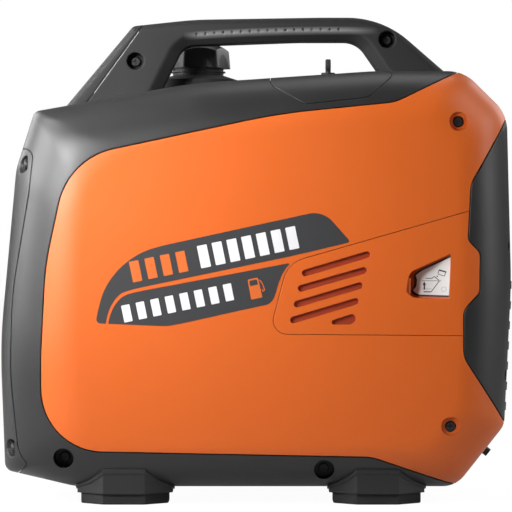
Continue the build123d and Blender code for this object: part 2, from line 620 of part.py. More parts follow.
with BuildPart() as drip_tray:
    add(rod((neck_x, neck_y, 385), (neck_x, neck_y, 404.4), TRAY_RADIUS))
    with Locations((neck_x, neck_y, 406.7)):
        Cone(TRAY_RADIUS, NECK_RADIUS + 1.5, 4.6)
    add(rod((neck_x, neck_y, 385), (neck_x, neck_y, 411), NECK_RADIUS), mode=Mode.SUBTRACT)
    add(OUTER, mode=Mode.SUBTRACT)
save(drip_tray, "drip_tray")

# ================================================================ feet
foot_places = [(x, side * FOOT_Y) for x in FOOT_X for side in (-1, 1)]


def octagon(length, depth, corner):
    """Corner points of a rectangle with its corners cut off, around the origin."""
    a, b = length / 2, depth / 2
    return [(a, b - corner), (a - corner, b), (corner - a, b), (-a, b - corner),
            (-a, corner - b), (corner - a, -b), (a - corner, -b), (a, corner - b)]


LIP = body_solid(-2.4)  # a lip of this height runs round each foot where it meets the case
with BuildPart() as foot_pods:
    for x, y in foot_places:
        points = [(x + dx, y + dy) for dx, dy in octagon(FOOT_LENGTH, FOOT_DEPTH, FOOT_CORNER)]
        add(plan_prism(points, FOOT_TOP, 34))
        wider = [(x + dx, y + dy) for dx, dy in octagon(FOOT_LENGTH + 3, FOOT_DEPTH + 3, FOOT_CORNER + 1)]
        add(plan_prism(wider, FOOT_TOP + 1, 40) & LIP)
    add(OUTER, mode=Mode.SUBTRACT)
    for x, y in foot_places:
        for seat in CASE_SCREWS:
            side = 1 if y > 0 else -1
            add(rod((seat[0], side * FOOT_Y, seat[1]), (seat[0], side * FAR, seat[1]), CASE_WELL + BOSS_WALL + 1),
                mode=Mode.SUBTRACT)
        add(rod((x, y, 5), (x, y, 40), 3.1), mode=Mode.SUBTRACT)
save(foot_pods, "foot_pods")

with BuildPart() as rubber_feet:
    step = RUBBER_STEP
    for x, y in foot_places:
        pad = octagon(FOOT_LENGTH - 2 * step, FOOT_DEPTH - 2 * step, FOOT_CORNER - step)
        add(plan_prism([(x + dx, y + dy) for dx, dy in pad], 0, FOOT_TOP))
    fillet(rubber_feet.edges().filter_by_position(Axis.Z, -0.1, 0.1), 1.8)
    for x, y in foot_places:
        add(rod((x, y, -1), (x, y, 6), 8), mode=Mode.SUBTRACT)
        add(rod((x, y, 5), (x, y, 11), 3.1), mode=Mode.SUBTRACT)
save(rubber_feet, "rubber_feet")

# ================================================================ screws of the case
case_seats = [Seat((x, side * (CASE_WELL_FLOOR - SEAT_FLOOR), z), (0, side, 0), 1, 1)
              for side in (-1, 1) for x, z in CASE_SCREWS]
with BuildPart() as case_screws:
    for seat in side_seats + bezel_seats + rear_seats + case_seats:
        add(seat.screw())
    for x, y in foot_places:
        add(rod((x, y, 2.4), (x, y, 6), 5.5))
        add(rod((x, y, 6), (x, y, 14.4), 3.0))
save(case_screws, "case_screws")

HANDLE_SEAT = HANDLE_HALF - HANDLE_WELL_DEPTH
with BuildPart() as handle_bolts:
    for x, z in HANDLE_WELLS:
        add(Seat((x, SEAT_FLOOR - HANDLE_SEAT, z), (0, -1, 0), 1, 1).screw())
        add(rod((x, -HANDLE_SEAT, z), (x, HANDLE_SEAT + 5, z), SCREW_SHANK))
        with BuildSketch(Plane(origin=(x, HANDLE_SEAT, z), x_dir=(1, 0, 0), z_dir=(0, 1, 0))):
            RegularPolygon(4.6, 6)
            Circle(SCREW_SHANK + 0.1, mode=Mode.SUBTRACT)
        extrude(amount=4)
save(handle_bolts, "handle_bolts")

# ================================================================ control panel, seen from -X
def panel_block(x_front, x_back, y, z, width, height, corner):
    """A rounded block standing on the control panel, between two depths along X."""
    with BuildPart(mode=Mode.PRIVATE) as shape:
        with BuildSketch(Plane.YZ.offset(x_front)):
            with Locations((y, z)):
                RectangleRounded(width, height, corner)
        extrude(amount=x_back - x_front)
    return shape.part


PANEL_BACK = PANEL_X + 3
DIAL = (45.0, 255.0)
DIAL_SHAFT = 5.0
AC_OUTLETS = [(-40.0, 168.0), (40.0, 168.0)]
DC_OUTLET = (48.0, 95.0)
BREAKER = (14.0, 95.0)
PARALLEL = [(-16.0, 95.0), (-38.0, 95.0)]
PARALLEL_BORE = 2.6
GROUND = (-66.0, 88.0)
GROUND_STUD = 3.0
ROCKER = (-16.0, 238.0)
RESET = (-56.0, 238.0)
BUTTON = 4.2
LENSES = [(-62.0, 276.0), (-44.0, 276.0), (-26.0, 276.0)]
USB = (2.0, 216.0)

with BuildPart() as control_panel:
    add(panel_block(PANEL_X, PANEL_BACK, 0, (PANEL_LOW + PANEL_HIGH) / 2, 2 * PANEL_HALF_WIDTH - 2 * FIT,
                    PANEL_HIGH - PANEL_LOW - 2 * FIT, 2))
    for y, z in AC_OUTLETS:
        add(panel_block(PANEL_X, PANEL_BACK, y, z, 36 + 2 * FIT, 36 + 2 * FIT, 5), mode=Mode.SUBTRACT)
    for hole, radius in ((DIAL, DIAL_SHAFT + RUN), (DC_OUTLET, 13 + FIT), (BREAKER, 6 + FIT), (GROUND, 3 + FIT)):
        add(rod((PANEL_X - 1, *hole), (PANEL_BACK + 1, *hole), radius), mode=Mode.SUBTRACT)
    for hole in PARALLEL:
        add(rod((PANEL_X - 1, *hole), (PANEL_BACK + 1, *hole), 6 + FIT), mode=Mode.SUBTRACT)
    for hole in LENSES:
        add(rod((PANEL_X - 1, *hole), (PANEL_BACK + 1, *hole), 2.5), mode=Mode.SUBTRACT)
    add(panel_block(PANEL_X, PANEL_BACK, *ROCKER, 15 + 2 * FIT, 21 + 2 * FIT, 1), mode=Mode.SUBTRACT)
    add(rod((PANEL_X - 1, *RESET), (PANEL_BACK + 1, *RESET), 6 + FIT), mode=Mode.SUBTRACT)
    add(panel_block(PANEL_X, PANEL_BACK, *USB, 30 + 2 * FIT, 12 + 2 * FIT, 1), mode=Mode.SUBTRACT)
save(control_panel, "control_panel")

with BuildPart() as engine_dial:
    add(rod((PANEL_X - 0.4, *DIAL), (PANEL_X - 6, *DIAL), 22))
    fillet(engine_dial.faces().sort_by(Axis.X)[0].edges(), 1.5)
    add(panel_block(PANEL_X - 14, PANEL_X - 5, *DIAL, 10, 40, 4.5))
    add(panel_block(PANEL_X - 15, PANEL_X - 13.4, DIAL[0], DIAL[1] + 13, 2.4, 9, 1), mode=Mode.SUBTRACT)
    add(rod((PANEL_X - 6, *DIAL), (PANEL_BACK + 14, *DIAL), DIAL_SHAFT))
    add(rod((PANEL_BACK + 0.4, *DIAL), (PANEL_BACK + 2.4, *DIAL), 7.5))
save(engine_dial, "engine_dial")

with BuildPart() as ac_receptacles:
    for y, z in AC_OUTLETS:
        add(panel_block(PANEL_X - 3, PANEL_X, y, z, 44, 44, 7))
        add(panel_block(PANEL_X - 5, PANEL_BACK + 20, y, z, 36, 36, 5))
        for dy, height in ((-6.5, 8.5), (6.5, 7)):
            add(panel_block(PANEL_X - 6, PANEL_X + 12, y + dy, z + 4, 2, height, 0.4), mode=Mode.SUBTRACT)
        add(rod((PANEL_X - 6, y, z - 8), (PANEL_X + 12, y, z - 8), 2.6), mode=Mode.SUBTRACT)
save(ac_receptacles, "ac_receptacles")

with BuildPart() as dc_outlet:
    add(rod((PANEL_X, *DC_OUTLET), (PANEL_X - 3, *DC_OUTLET), 16))
    add(rod((PANEL_X - 5, *DC_OUTLET), (PANEL_BACK + 22, *DC_OUTLET), 13))
    add(rod((PANEL_X - 6, *DC_OUTLET), (PANEL_BACK + 18, *DC_OUTLET), 10.5), mode=Mode.SUBTRACT)
save(dc_outlet, "dc_outlet")

with BuildPart() as button_bushes:
    for hole in (BREAKER, RESET):
        add(rod((PANEL_X, *hole), (PANEL_X - 2.5, *hole), 8.5))
        add(rod((PANEL_X, *hole), (PANEL_BACK + 16, *hole), 6))
        add(rod((PANEL_X - 3, *hole), (PANEL_BACK + 11, *hole), BUTTON + RUN), mode=Mode.SUBTRACT)
save(button_bushes, "button_bushes")

with BuildPart() as breaker_button:
    add(rod((PANEL_X - 6, *BREAKER), (PANEL_BACK + 6, *BREAKER), BUTTON))
    fillet(breaker_button.faces().sort_by(Axis.X)[0].edges(), 1)
save(breaker_button, "breaker_button")

with BuildPart() as parallel_jacks:
    for hole in PARALLEL:
        add(rod((PANEL_X, *hole), (PANEL_X - 4, *hole), 8.5))
        add(rod((PANEL_X - 6, *hole), (PANEL_BACK + 20, *hole), 6))
        add(rod((PANEL_X - 7, *hole), (PANEL_BACK + 15, *hole), PARALLEL_BORE), mode=Mode.SUBTRACT)
save(parallel_jacks, "parallel_jacks")

with BuildPart() as ground_terminal:
    add(rod((PANEL_X - 14, *GROUND), (PANEL_BACK + 8, *GROUND), GROUND_STUD))
    add(rod((PANEL_X, *GROUND), (PANEL_X - 1.2, *GROUND), 7))
    add(rod((PANEL_BACK, *GROUND), (PANEL_BACK + 3, *GROUND), 6))
    with BuildSketch(Plane.YZ.offset(PANEL_X - 5.2)):
        with Locations(GROUND):
            RegularPolygon(5.6, 6)
    extrude(amount=4)
save(ground_terminal, "ground_terminal")

ROCKER_PIN = PANEL_X - 1.5
with BuildPart() as eco_switch_frame:
    add(panel_block(PANEL_X - 3, PANEL_X, *ROCKER, 20, 26, 2))
    add(panel_block(PANEL_X - 3, PANEL_BACK + 16, *ROCKER, 15, 21, 1))
    add(panel_block(PANEL_X - 4, PANEL_BACK + 5, *ROCKER, 12, 18.4, 0.5), mode=Mode.SUBTRACT)
    add(rod((ROCKER_PIN, ROCKER[0] - 7, ROCKER[1]), (ROCKER_PIN, ROCKER[0] + 7, ROCKER[1]), 1 + RUN),
        mode=Mode.SUBTRACT)
save(eco_switch_frame, "eco_switch_frame")

with BuildPart() as eco_rocker:
    with BuildSketch(Plane.XZ.offset(-ROCKER[0] - 5.6)):
        with BuildLine():
            Polyline((PANEL_X - 6.4, ROCKER[1] + 8), (PANEL_X - 3.6, ROCKER[1]), (PANEL_X - 6.4, ROCKER[1] - 8),
                     (PANEL_X + 0.2, ROCKER[1] - 8), (PANEL_X + 1.6, ROCKER[1]), (PANEL_X + 0.2, ROCKER[1] + 8),
                     close=True)
        make_face()
    extrude(amount=11.2)
    add(rod((ROCKER_PIN, ROCKER[0] - 6.8, ROCKER[1]), (ROCKER_PIN, ROCKER[0] + 6.8, ROCKER[1]), 1))
save(eco_rocker, "eco_rocker")

with BuildPart() as reset_button:
    add(rod((PANEL_X - 6, *RESET), (PANEL_BACK + 6, *RESET), BUTTON))
    fillet(reset_button.faces().sort_by(Axis.X)[0].edges(), 1)
save(reset_button, "reset_button")

with BuildPart() as indicator_lenses:
    for hole in LENSES:
        add(rod((PANEL_X - 1.4, *hole), (PANEL_BACK, *hole), 2.5))
        add(rod((PANEL_X - 0.8, *hole), (PANEL_X, *hole), 3.4))
save(indicator_lenses, "indicator_lenses")

with BuildPart() as usb_outlet:
    add(panel_block(PANEL_X - 1.5, PANEL_X, *USB, 36, 17, 3))
    add(panel_block(PANEL_X - 1.5, PANEL_BACK + 12, *USB, 30, 12, 1))
    for dy in (-7.5, 7.5):
        add(panel_block(PANEL_X - 3, PANEL_BACK + 8, USB[0] + dy, USB[1], 12, 5, 0.6), mode=Mode.SUBTRACT)
        add(panel_block(PANEL_X, PANEL_BACK + 8, USB[0] + dy, USB[1] - 0.9, 11, 1.6, 0.3))
save(usb_outlet, "usb_outlet")

# ================================================================ recoil starter
SHAFT = (CRANK_Y, CRANK_Z)
CUP_BACK = RECESS_FLOOR_Y
with BuildPart() as starter_recess:
    add(starter_hole(0, CUP_BACK))
    add(block(-300, 300, 0, HALF_WIDTH, 0, 400), mode=Mode.INTERSECT)
    flange = [(PULLEY_X + sx * (RECESS_HALF_X + 3), STARTER_Z + sz * (RECESS_HALF_Z + 3), RECESS_CORNER + 3)
              for sx, sz in ((-1, -1), (1, -1), (1, 1), (-1, 1))]
    add(prism(flange, HALF_WIDTH, HALF_WIDTH + 1.4))
    inner = [(PULLEY_X + sx * (RECESS_HALF_X - 2), STARTER_Z + sz * (RECESS_HALF_Z - 2), RECESS_CORNER - 2)
             for sx, sz in ((-1, -1), (1, -1), (1, 1), (-1, 1))]
    add(prism(inner, CUP_BACK + 2, FAR), mode=Mode.SUBTRACT)
    add(rod((PULLEY_X, CUP_BACK - 4, STARTER_Z), (PULLEY_X, CUP_BACK + 4, STARTER_Z), 7))
    add(rod((PULLEY_X, CUP_BACK - 5, STARTER_Z), (PULLEY_X, CUP_BACK + 5, STARTER_Z), ROPE_RADIUS + 0.5),
        mode=Mode.SUBTRACT)
save(starter_recess, "starter_recess")

GRIP_Y = HALF_WIDTH - 6.0
GRIP_HALF = RECESS_HALF_X - 9.0
with BuildPart() as starter_grip:
    add(block(PULLEY_X - GRIP_HALF, PULLEY_X + GRIP_HALF, GRIP_Y - 9, GRIP_Y + 9, STARTER_Z - 9, STARTER_Z + 9))
    fillet(starter_grip.edges(), 7)
    add(rod((PULLEY_X, CUP_BACK + 4.3, STARTER_Z), (PULLEY_X, GRIP_Y, STARTER_Z), 9))
    add(rod((PULLEY_X, CUP_BACK, STARTER_Z), (PULLEY_X, GRIP_Y, STARTER_Z), ROPE_RADIUS), mode=Mode.SUBTRACT)
    add(rod((PULLEY_X, GRIP_Y - 2, STARTER_Z), (PULLEY_X, GRIP_Y + 20, STARTER_Z), 5.5), mode=Mode.SUBTRACT)
save(starter_grip, "starter_grip")

with BuildPart() as starter_rope:
    add(rod((PULLEY_X, CRANK_Y, STARTER_Z), (PULLEY_X, GRIP_Y, STARTER_Z), ROPE_RADIUS))
    add(rod((PULLEY_X, GRIP_Y - 2, STARTER_Z), (PULLEY_X, GRIP_Y + 4, STARTER_Z), 4.2))
save(starter_rope, "starter_rope")

with BuildPart() as recoil_pulley:
    add(rod((PULLEY_X - 5, *SHAFT), (PULLEY_X + 5, *SHAFT), PULLEY_RADIUS + 3))
    with BuildSketch(Plane(origin=(PULLEY_X - 2.4, *SHAFT), z_dir=(1, 0, 0))):
        Circle(PULLEY_RADIUS + 4)
        Circle(ROPE_PITCH - ROPE_RADIUS - 0.2, mode=Mode.SUBTRACT)
    extrude(amount=4.8, mode=Mode.SUBTRACT)
    add(rod((PULLEY_X - 6, *SHAFT), (PULLEY_X + 6, *SHAFT), 8 + RUN), mode=Mode.SUBTRACT)
    for i in range(3):
        turn = radians(120 * i + 30)
        centre = (CRANK_Y + 17 * cos(turn), CRANK_Z + 17 * sin(turn))
        add(rod((PULLEY_X + 5, *centre), (PULLEY_X + 9, *centre), 4))
save(recoil_pulley, "recoil_pulley")

HOUSING_X = PULLEY_X - 9
with BuildPart() as recoil_housing:
    add(rod((HOUSING_X, *SHAFT), (HOUSING_X + 3, *SHAFT), 60))
    add(rod((HOUSING_X, *SHAFT), (-88, *SHAFT), 60) - rod((HOUSING_X, *SHAFT), (-80, *SHAFT), 57))
    add(rod((-91, *SHAFT), (-88, *SHAFT), 90) - rod((-92, *SHAFT), (-80, *SHAFT), 57))
    for i in range(8):
        turn = radians(45 * i + 22.5)
        centre = (CRANK_Y + 46 * cos(turn), CRANK_Z + 46 * sin(turn))
        add(rod((HOUSING_X - 1, *centre), (HOUSING_X + 4, *centre), 8), mode=Mode.SUBTRACT)
    add(rod((PULLEY_X, CRANK_Y, STARTER_Z), (PULLEY_X, FAR, STARTER_Z), 6), mode=Mode.SUBTRACT)
    add(rod((HOUSING_X, *SHAFT), (PULLEY_X + 8, *SHAFT), 8))
save(recoil_housing, "recoil_housing")

with BuildPart() as fan_shroud:
    add(rod((-88, *SHAFT), (-20, *SHAFT), 90) - rod((-89, *SHAFT), (-17, *SHAFT), 87))
    for i in range(4):
        add(block(-24, -20, -6, 6, 40, 90).rotate(Axis((0, 0, 0), (1, 0, 0)), 90 * i + 45)
            .translate((0, *SHAFT)))
    add(rod((-30, *SHAFT), (-10, *SHAFT), 44), mode=Mode.SUBTRACT)
    add(block(-60, -10, -10, 20, 231, 245), mode=Mode.SUBTRACT)
save(fan_shroud, "fan_shroud")

# ================================================================ generator on the crankshaft
with BuildPart() as stator:
    with BuildSketch(Plane.YZ.offset(-50)):
        with Locations(SHAFT):
            Circle(34)
            Circle(20, mode=Mode.SUBTRACT)
    extrude(amount=26)
    for i in range(12):
        tooth = block(-50, -24, -5, 5, 32, 52) + block(-52, -25, -8, 8, 36, 50)
        tooth = tooth + block(-50, -24, -11, 11, 52, 56)
        add(tooth.rotate(Axis((0, 0, 0), (1, 0, 0)), 30 * i).translate((0, *SHAFT)))
    with BuildSketch(Plane.YZ.offset(-24)):
        with Locations(SHAFT):
            Circle(30)
            Circle(20, mode=Mode.SUBTRACT)
    extrude(amount=4)
save(stator, "stator")

with BuildPart() as flywheel:
    add(rod((-62, *SHAFT), (-56, *SHAFT), 72))
    add(rod((-62, *SHAFT), (-24, *SHAFT), 72) - rod((-56, *SHAFT), (-20, *SHAFT), 66))
    for i in range(12):
        magnet = block(-52, -26, -13, 13, 58, 68) - rod((-60, 0, 0), (-20, 0, 0), 61)
        add(magnet.rotate(Axis((0, 0, 0), (1, 0, 0)), 30 * i).translate((0, *SHAFT)))
    add(rod((-66, *SHAFT), (-40, *SHAFT), 17))
    add(rod((-70, *SHAFT), (-30, *SHAFT), 10), mode=Mode.SUBTRACT)
save(flywheel, "flywheel")

with BuildPart() as cooling_fan:
    add(rod((-65, *SHAFT), (-62, *SHAFT), 72))
    for i in range(16):
        blade = block(-80, -64, -1.2, 1.2, 40, 74).rotate(Axis((0, 0, 57), (1, 0, 0)), 30)
        add(blade.rotate(Axis((0, 0, 0), (1, 0, 0)), 22.5 * i).translate((0, *SHAFT)))
    add(rod((-90, *SHAFT), (-60, *SHAFT), 17.2), mode=Mode.SUBTRACT)
    add(rod((-90, *SHAFT), (-60, *SHAFT), 79), mode=Mode.INTERSECT)
save(cooling_fan, "cooling_fan")

with BuildPart() as crankshaft:
    add(rod((-76, *SHAFT), (-40, *SHAFT), 10))
    add(rod((-40, *SHAFT), (12, *SHAFT), 12))
    for x in (12, 44):
        add(rod((x, *SHAFT), (x + 12, *SHAFT), 24))
        add(block(x - 1, x + 13, -34, 34, -40, -6).translate((0, *SHAFT)) & rod((x, *SHAFT), (x + 12, *SHAFT), 29))
    add(rod((24, CRANK_Y, CRANK_Z + 19), (44, CRANK_Y, CRANK_Z + 19), 9))
    add(rod((56, *SHAFT), (86.5, *SHAFT), 12))
    with BuildSketch(Plane(origin=(-82, *SHAFT), z_dir=(1, 0, 0))):
        RegularPolygon(9, 6)
    extrude(amount=6.2)
save(crankshaft, "crankshaft")

# ================================================================ engine
def tilted(shape):
    """Turns a shape drawn upwards over the crankshaft to the cylinder's tilt."""
    return shape.rotate(Axis((0, 0, 0), (1, 0, 0)), CYLINDER_TILT).translate((0, *SHAFT))


with BuildPart() as engine_block:
    add(block(-20, 90, -52, 62, 52, 188, 10))
    add(block(-26, 96, -62, 72, 44.5, 54, 6))
    add(tilted(rod((34, 0, 20), (34, 0, 62), 42)))
    add(block(-16, 86, -44, 54, 62, 180, 6), mode=Mode.SUBTRACT)
    add(tilted(rod((34, 0, 20), (34, 0, 70), 27)), mode=Mode.SUBTRACT)
    add(rod((-16, *SHAFT), (-6, *SHAFT), 20))
    add(rod((76, *SHAFT), (86, *SHAFT), 20))
    add(rod((-30, *SHAFT), (87, *SHAFT), 12 + RUN), mode=Mode.SUBTRACT)
    add(rod((OIL_FILLER[0], -50, OIL_FILLER[1] - 24), (OIL_FILLER[0], -98, OIL_FILLER[1]), 12))
    oil_bore = rod((OIL_FILLER[0], -40, OIL_FILLER[1] - 29), (OIL_FILLER[0], -99, OIL_FILLER[1] + 0.5), 9)
    add(oil_bore, mode=Mode.SUBTRACT)
save(engine_block, "engine_block")

with BuildPart() as cylinder_fins:
    add(tilted(rod((34, 0, 62), (34, 0, 116), 34)))
    for i in range(8):
        add(tilted(block(-10, 78, -44, 44, 64 + 6.2 * i, 66 + 6.2 * i, 12)))
    add(tilted(block(-10, 78, -40, 40, 114, 142, 10)))
    add(tilted(rod((34, 0, 50), (34, 0, 118), 27)), mode=Mode.SUBTRACT)
    add(tilted(rod((66, 0, 132), (66, 0, 150), 7)), mode=Mode.SUBTRACT)
save(cylinder_fins, "cylinder_fins")

with BuildPart() as valve_cover:
    add(tilted(block(-8, 50, -30, 30, 142, 162, 10)))
    fillet(valve_cover.faces().sort_by(Axis((0, 0, 0), (0, -sin(radians(CYLINDER_TILT)), 1)))[-1].edges(), 4)
save(valve_cover, "valve_cover")

with BuildPart() as spark_plug:
    add(tilted(rod((66, 0, 133), (66, 0, 146), 7)))
    with BuildSketch(Plane.XY.offset(146)):
        with Locations((66, 0)):
            RegularPolygon(10.4, 6)
    hexagon = extrude(amount=8, mode=Mode.PRIVATE)
    add(tilted(hexagon))
    add(tilted(rod((66, 0, 153), (66, 0, 172), 5)))
save(spark_plug, "spark_plug")

with BuildPart() as ignition_coil:
    add(block(-50, -32, -5, 15, 223, 237, 2))
    add(block(-34, -12, 0, 10, 223, 229))
    add(block(-18, -12, -4, 14, 188, 229))
    with BuildLine():
        FilletPolyline((-41, 5, 236), (-41, 5, 258), (-30, -60, 268), (0, -98, 280), (50, -95, 332),
                       (66, -61, 353), (66, -53.7, 330.7), radius=[14, 14, 14, 14, 9])
    with BuildSketch(Plane(origin=(-41, 5, 236), z_dir=(0, 0, 1))):
        Circle(3.5)
    sweep()
    add(tilted(rod((66, 0, 155), (66, 0, 192), 8.5)))
    add(tilted(rod((66, 0, 154), (66, 0, 172), 5)), mode=Mode.SUBTRACT)
save(ignition_coil, "ignition_coil")

with BuildPart() as carburettor:
    add(block(92, 122, -80, -24, 248, 282, 3))
    add(rod((78, -36, 268), (92, -36, 268), 12))
    add(rod((107, -66, 228), (107, -66, 248), 13))
    add(rod((100, -52, 280), (100, -52, 288), 4))
save(carburettor, "carburettor")

with BuildPart() as air_cleaner:
    add(block(106, 176, -113, -80, 188, 262, 8))
    fillet(air_cleaner.faces().sort_by(Axis.Y)[0].edges(), 4)
    add(block(104, 178, -96, -93, 186, 264, 1))
save(air_cleaner, "air_cleaner")

with BuildPart() as fuel_hose:
    tap = (TANK[1], 20, 295)
    with BuildLine():
        FilletPolyline((0, 20, 295), (34, 22, 301), (100, 10, 322), (100, -52, 322), (100, -52, 288),
                       radius=[18, 18, 18])
    with BuildSketch(Plane(origin=(0, 20, 295), z_dir=(34, 2, 6))):
        Circle(4)
    sweep()
    add(rod(tap, (6, 20, 295), 3))
    add(rod((-14, 20, 295), (-8, 20, 295), 8))
save(fuel_hose, "fuel_hose")

OIL_AXIS = Vector(0, -48, 24).normalized()
oil_mouth = Vector(OIL_FILLER[0], -98, OIL_FILLER[1])
with BuildPart() as oil_filler_cap:
    add(rod(tuple(oil_mouth + OIL_AXIS * 0.3), tuple(oil_mouth + OIL_AXIS * 5), 14.5))
    add(rod(tuple(oil_mouth), tuple(oil_mouth + OIL_AXIS * 17), 9))
    add(rod(tuple(oil_mouth - OIL_AXIS * 12), tuple(oil_mouth + OIL_AXIS), 9 - RUN))
    add(rod(tuple(oil_mouth - OIL_AXIS * 44), tuple(oil_mouth), 2.2))
    bar = block(-13, 13, -3, 3, 4, 17, 2.5)
    bar = bar.rotate(Axis.X, 63.435).translate(tuple(oil_mouth))
    add(bar)
save(oil_filler_cap, "oil_filler_cap")

exhaust_y, exhaust_z = EXHAUST
with BuildPart() as muffler:
    add(block(116, 208, -10, 80, 88, 182, 22))
    fillet(muffler.faces().sort_by(Axis.Z)[-1].edges(), 8)
    add(block(112, 212, -13, 83, 133, 136, 22))
    with BuildLine():
        FilletPolyline((50, 3.6, 284.15), (50, 32, 293.4), (100, 42, 286), (140, 40, 262), (140, 40, 176),
                       radius=[18, 18, 18])
    with BuildSketch(Plane(origin=(50, 3.6, 284.15), z_dir=(0, 28.4, 9.25))):
        Circle(9)
    sweep()
    add(block(90, 120, 10, 34, 112, 118))
    add(block(90, 92, 4, 40, 104, 126))
    add(rod((206, *EXHAUST), (222, *EXHAUST), 16))
    add(rod((200, *EXHAUST), (223, *EXHAUST), 13), mode=Mode.SUBTRACT)
save(muffler, "muffler")

with BuildPart() as exhaust_outlet:
    add(rod((222, *EXHAUST), (225, *EXHAUST), 27))
    add(rod((222, *EXHAUST), (238, *EXHAUST), 27) - rod((220, *EXHAUST), (240, *EXHAUST), 25.5))
    add(rod((222, *EXHAUST), (234, *EXHAUST), 15))
    add(rod((220, *EXHAUST), (231.5, *EXHAUST), 13), mode=Mode.SUBTRACT)
    for i in range(6):
        turn = radians(60 * i)
        spot = (exhaust_y + 8 * cos(turn), exhaust_z + 8 * sin(turn))
        add(rod((228, *spot), (236, *spot), 2.6), mode=Mode.SUBTRACT)
    add(rod((228, *EXHAUST), (236, *EXHAUST), 2.6), mode=Mode.SUBTRACT)
save(exhaust_outlet, "exhaust_outlet")

with BuildPart() as engine_mounts:
    for x in (-12, 82):
        for y in (-48, 58):
            add(rod((x, y, CASE_BOTTOM + SKIN + LINER), (x, y, 44.5), 13))
save(engine_mounts, "engine_mounts")

with BuildPart() as inverter_module:
    add(block(-186, -132, -76, 76, 30, 92, 4))
    for i in range(18):
        y = -72 + i * 8.2
        add(block(-184, -134, y, y + 4.4, 70, 94), mode=Mode.SUBTRACT)
    for x in (-178, -140):
        for y in (-66, 66):
            add(rod((x, y, 10), (x, y, 31), 5) & INNER)
save(inverter_module, "inverter_module")

# ================================================================ behind the door
BAFFLE_END = 112.0
with BuildPart() as door_baffle:
    add(prism(inset_outline(DOOR_HATCH, 2), under(14), under(15.6)))
    add(block(0, BAFFLE_END, -FAR, 0, 100, 300), mode=Mode.INTERSECT)
    for x, z in ((37, 194), (108.5, 226), (104, 180), (29, 168)):
        add(rod((x, -DOOR_INSIDE, z), (x, under(15), z), 2.5))
save(door_baffle, "door_baffle")

with BuildPart() as door_latch:
    add(block(134, 143.5, under(5.2), under(14.8), LATCH_Z - 7.6, LATCH_Z + 7.6))
    fillet(door_latch.faces().sort_by(Axis.X)[-1].edges().filter_by(Axis.Z), 3)
    add(block(131, 135, under(5.2), under(25), LATCH_Z - 7.6, LATCH_Z + 7.6))
    add(block(131, 178, under(22.5), under(25), LATCH_Z - 5, LATCH_Z + 5))
    add(block(174, 178, under(8), under(25), LATCH_Z - 5, LATCH_Z + 5))
    add(block(174, 179.6, under(8), under(10.8), LATCH_Z - 5, LATCH_Z + 5))
save(door_latch, "door_latch")
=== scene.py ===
"""Looks of a suitcase-shaped inverter generator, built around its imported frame.

Metres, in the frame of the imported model: +X to the exhaust end, -Y to the service side, +Z up.
"""

import json
import math

import bmesh
import bpy
from mathutils import Matrix, Vector


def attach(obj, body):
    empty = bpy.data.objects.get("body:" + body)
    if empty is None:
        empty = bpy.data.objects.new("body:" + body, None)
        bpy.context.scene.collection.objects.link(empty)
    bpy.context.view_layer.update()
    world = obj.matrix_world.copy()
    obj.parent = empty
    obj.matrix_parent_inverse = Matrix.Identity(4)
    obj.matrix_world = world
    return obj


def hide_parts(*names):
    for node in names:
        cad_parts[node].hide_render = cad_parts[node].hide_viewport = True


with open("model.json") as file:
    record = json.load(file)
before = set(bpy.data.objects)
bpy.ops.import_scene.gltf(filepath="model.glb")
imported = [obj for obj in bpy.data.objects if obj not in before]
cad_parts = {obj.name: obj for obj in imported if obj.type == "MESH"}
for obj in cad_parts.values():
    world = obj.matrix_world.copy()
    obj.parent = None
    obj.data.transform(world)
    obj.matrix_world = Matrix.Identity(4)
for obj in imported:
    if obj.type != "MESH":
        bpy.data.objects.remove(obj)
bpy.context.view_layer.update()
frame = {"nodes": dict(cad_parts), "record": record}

MM = 0.001
BODY_OF = {node: body for body, nodes in frame["record"]["behaviour"]["bodies"].items() for node in nodes}
SLOT_OF = {part["node"]: part["material_slot"] for part in frame["record"]["subparts"]}


# ------------------------------------------------------------------ finishes
class Field:
    """A number or colour that varies over a surface; sums on it become Math nodes."""

    def __init__(self, finish, socket):
        self.finish = finish
        self.socket = socket

    def _sum(self, operation, a, b=None, clamp=False):
        inputs = {0: a} if b is None else {0: a, 1: b}
        return self.finish.node("ShaderNodeMath", {"operation": operation, "use_clamp": clamp}, inputs)

    def __add__(self, other):
        return self._sum("ADD", self, other)

    def __radd__(self, other):
        return self._sum("ADD", other, self)

    def __sub__(self, other):
        return self._sum("SUBTRACT", self, other)

    def __rsub__(self, other):
        return self._sum("SUBTRACT", other, self)

    def __mul__(self, other):
        return self._sum("MULTIPLY", self, other)

    def __rmul__(self, other):
        return self._sum("MULTIPLY", other, self)

    def __truediv__(self, other):
        return self._sum("DIVIDE", self, other)

    def __gt__(self, edge):
        return self._sum("GREATER_THAN", self, edge)

    def __lt__(self, edge):
        return self._sum("LESS_THAN", self, edge)

    def __abs__(self):
        return self._sum("ABSOLUTE", self)

    def most(self, other):
        return self._sum("MAXIMUM", self, other)

    def clamped(self):
        return self._sum("ADD", self, 0.0, clamp=True)


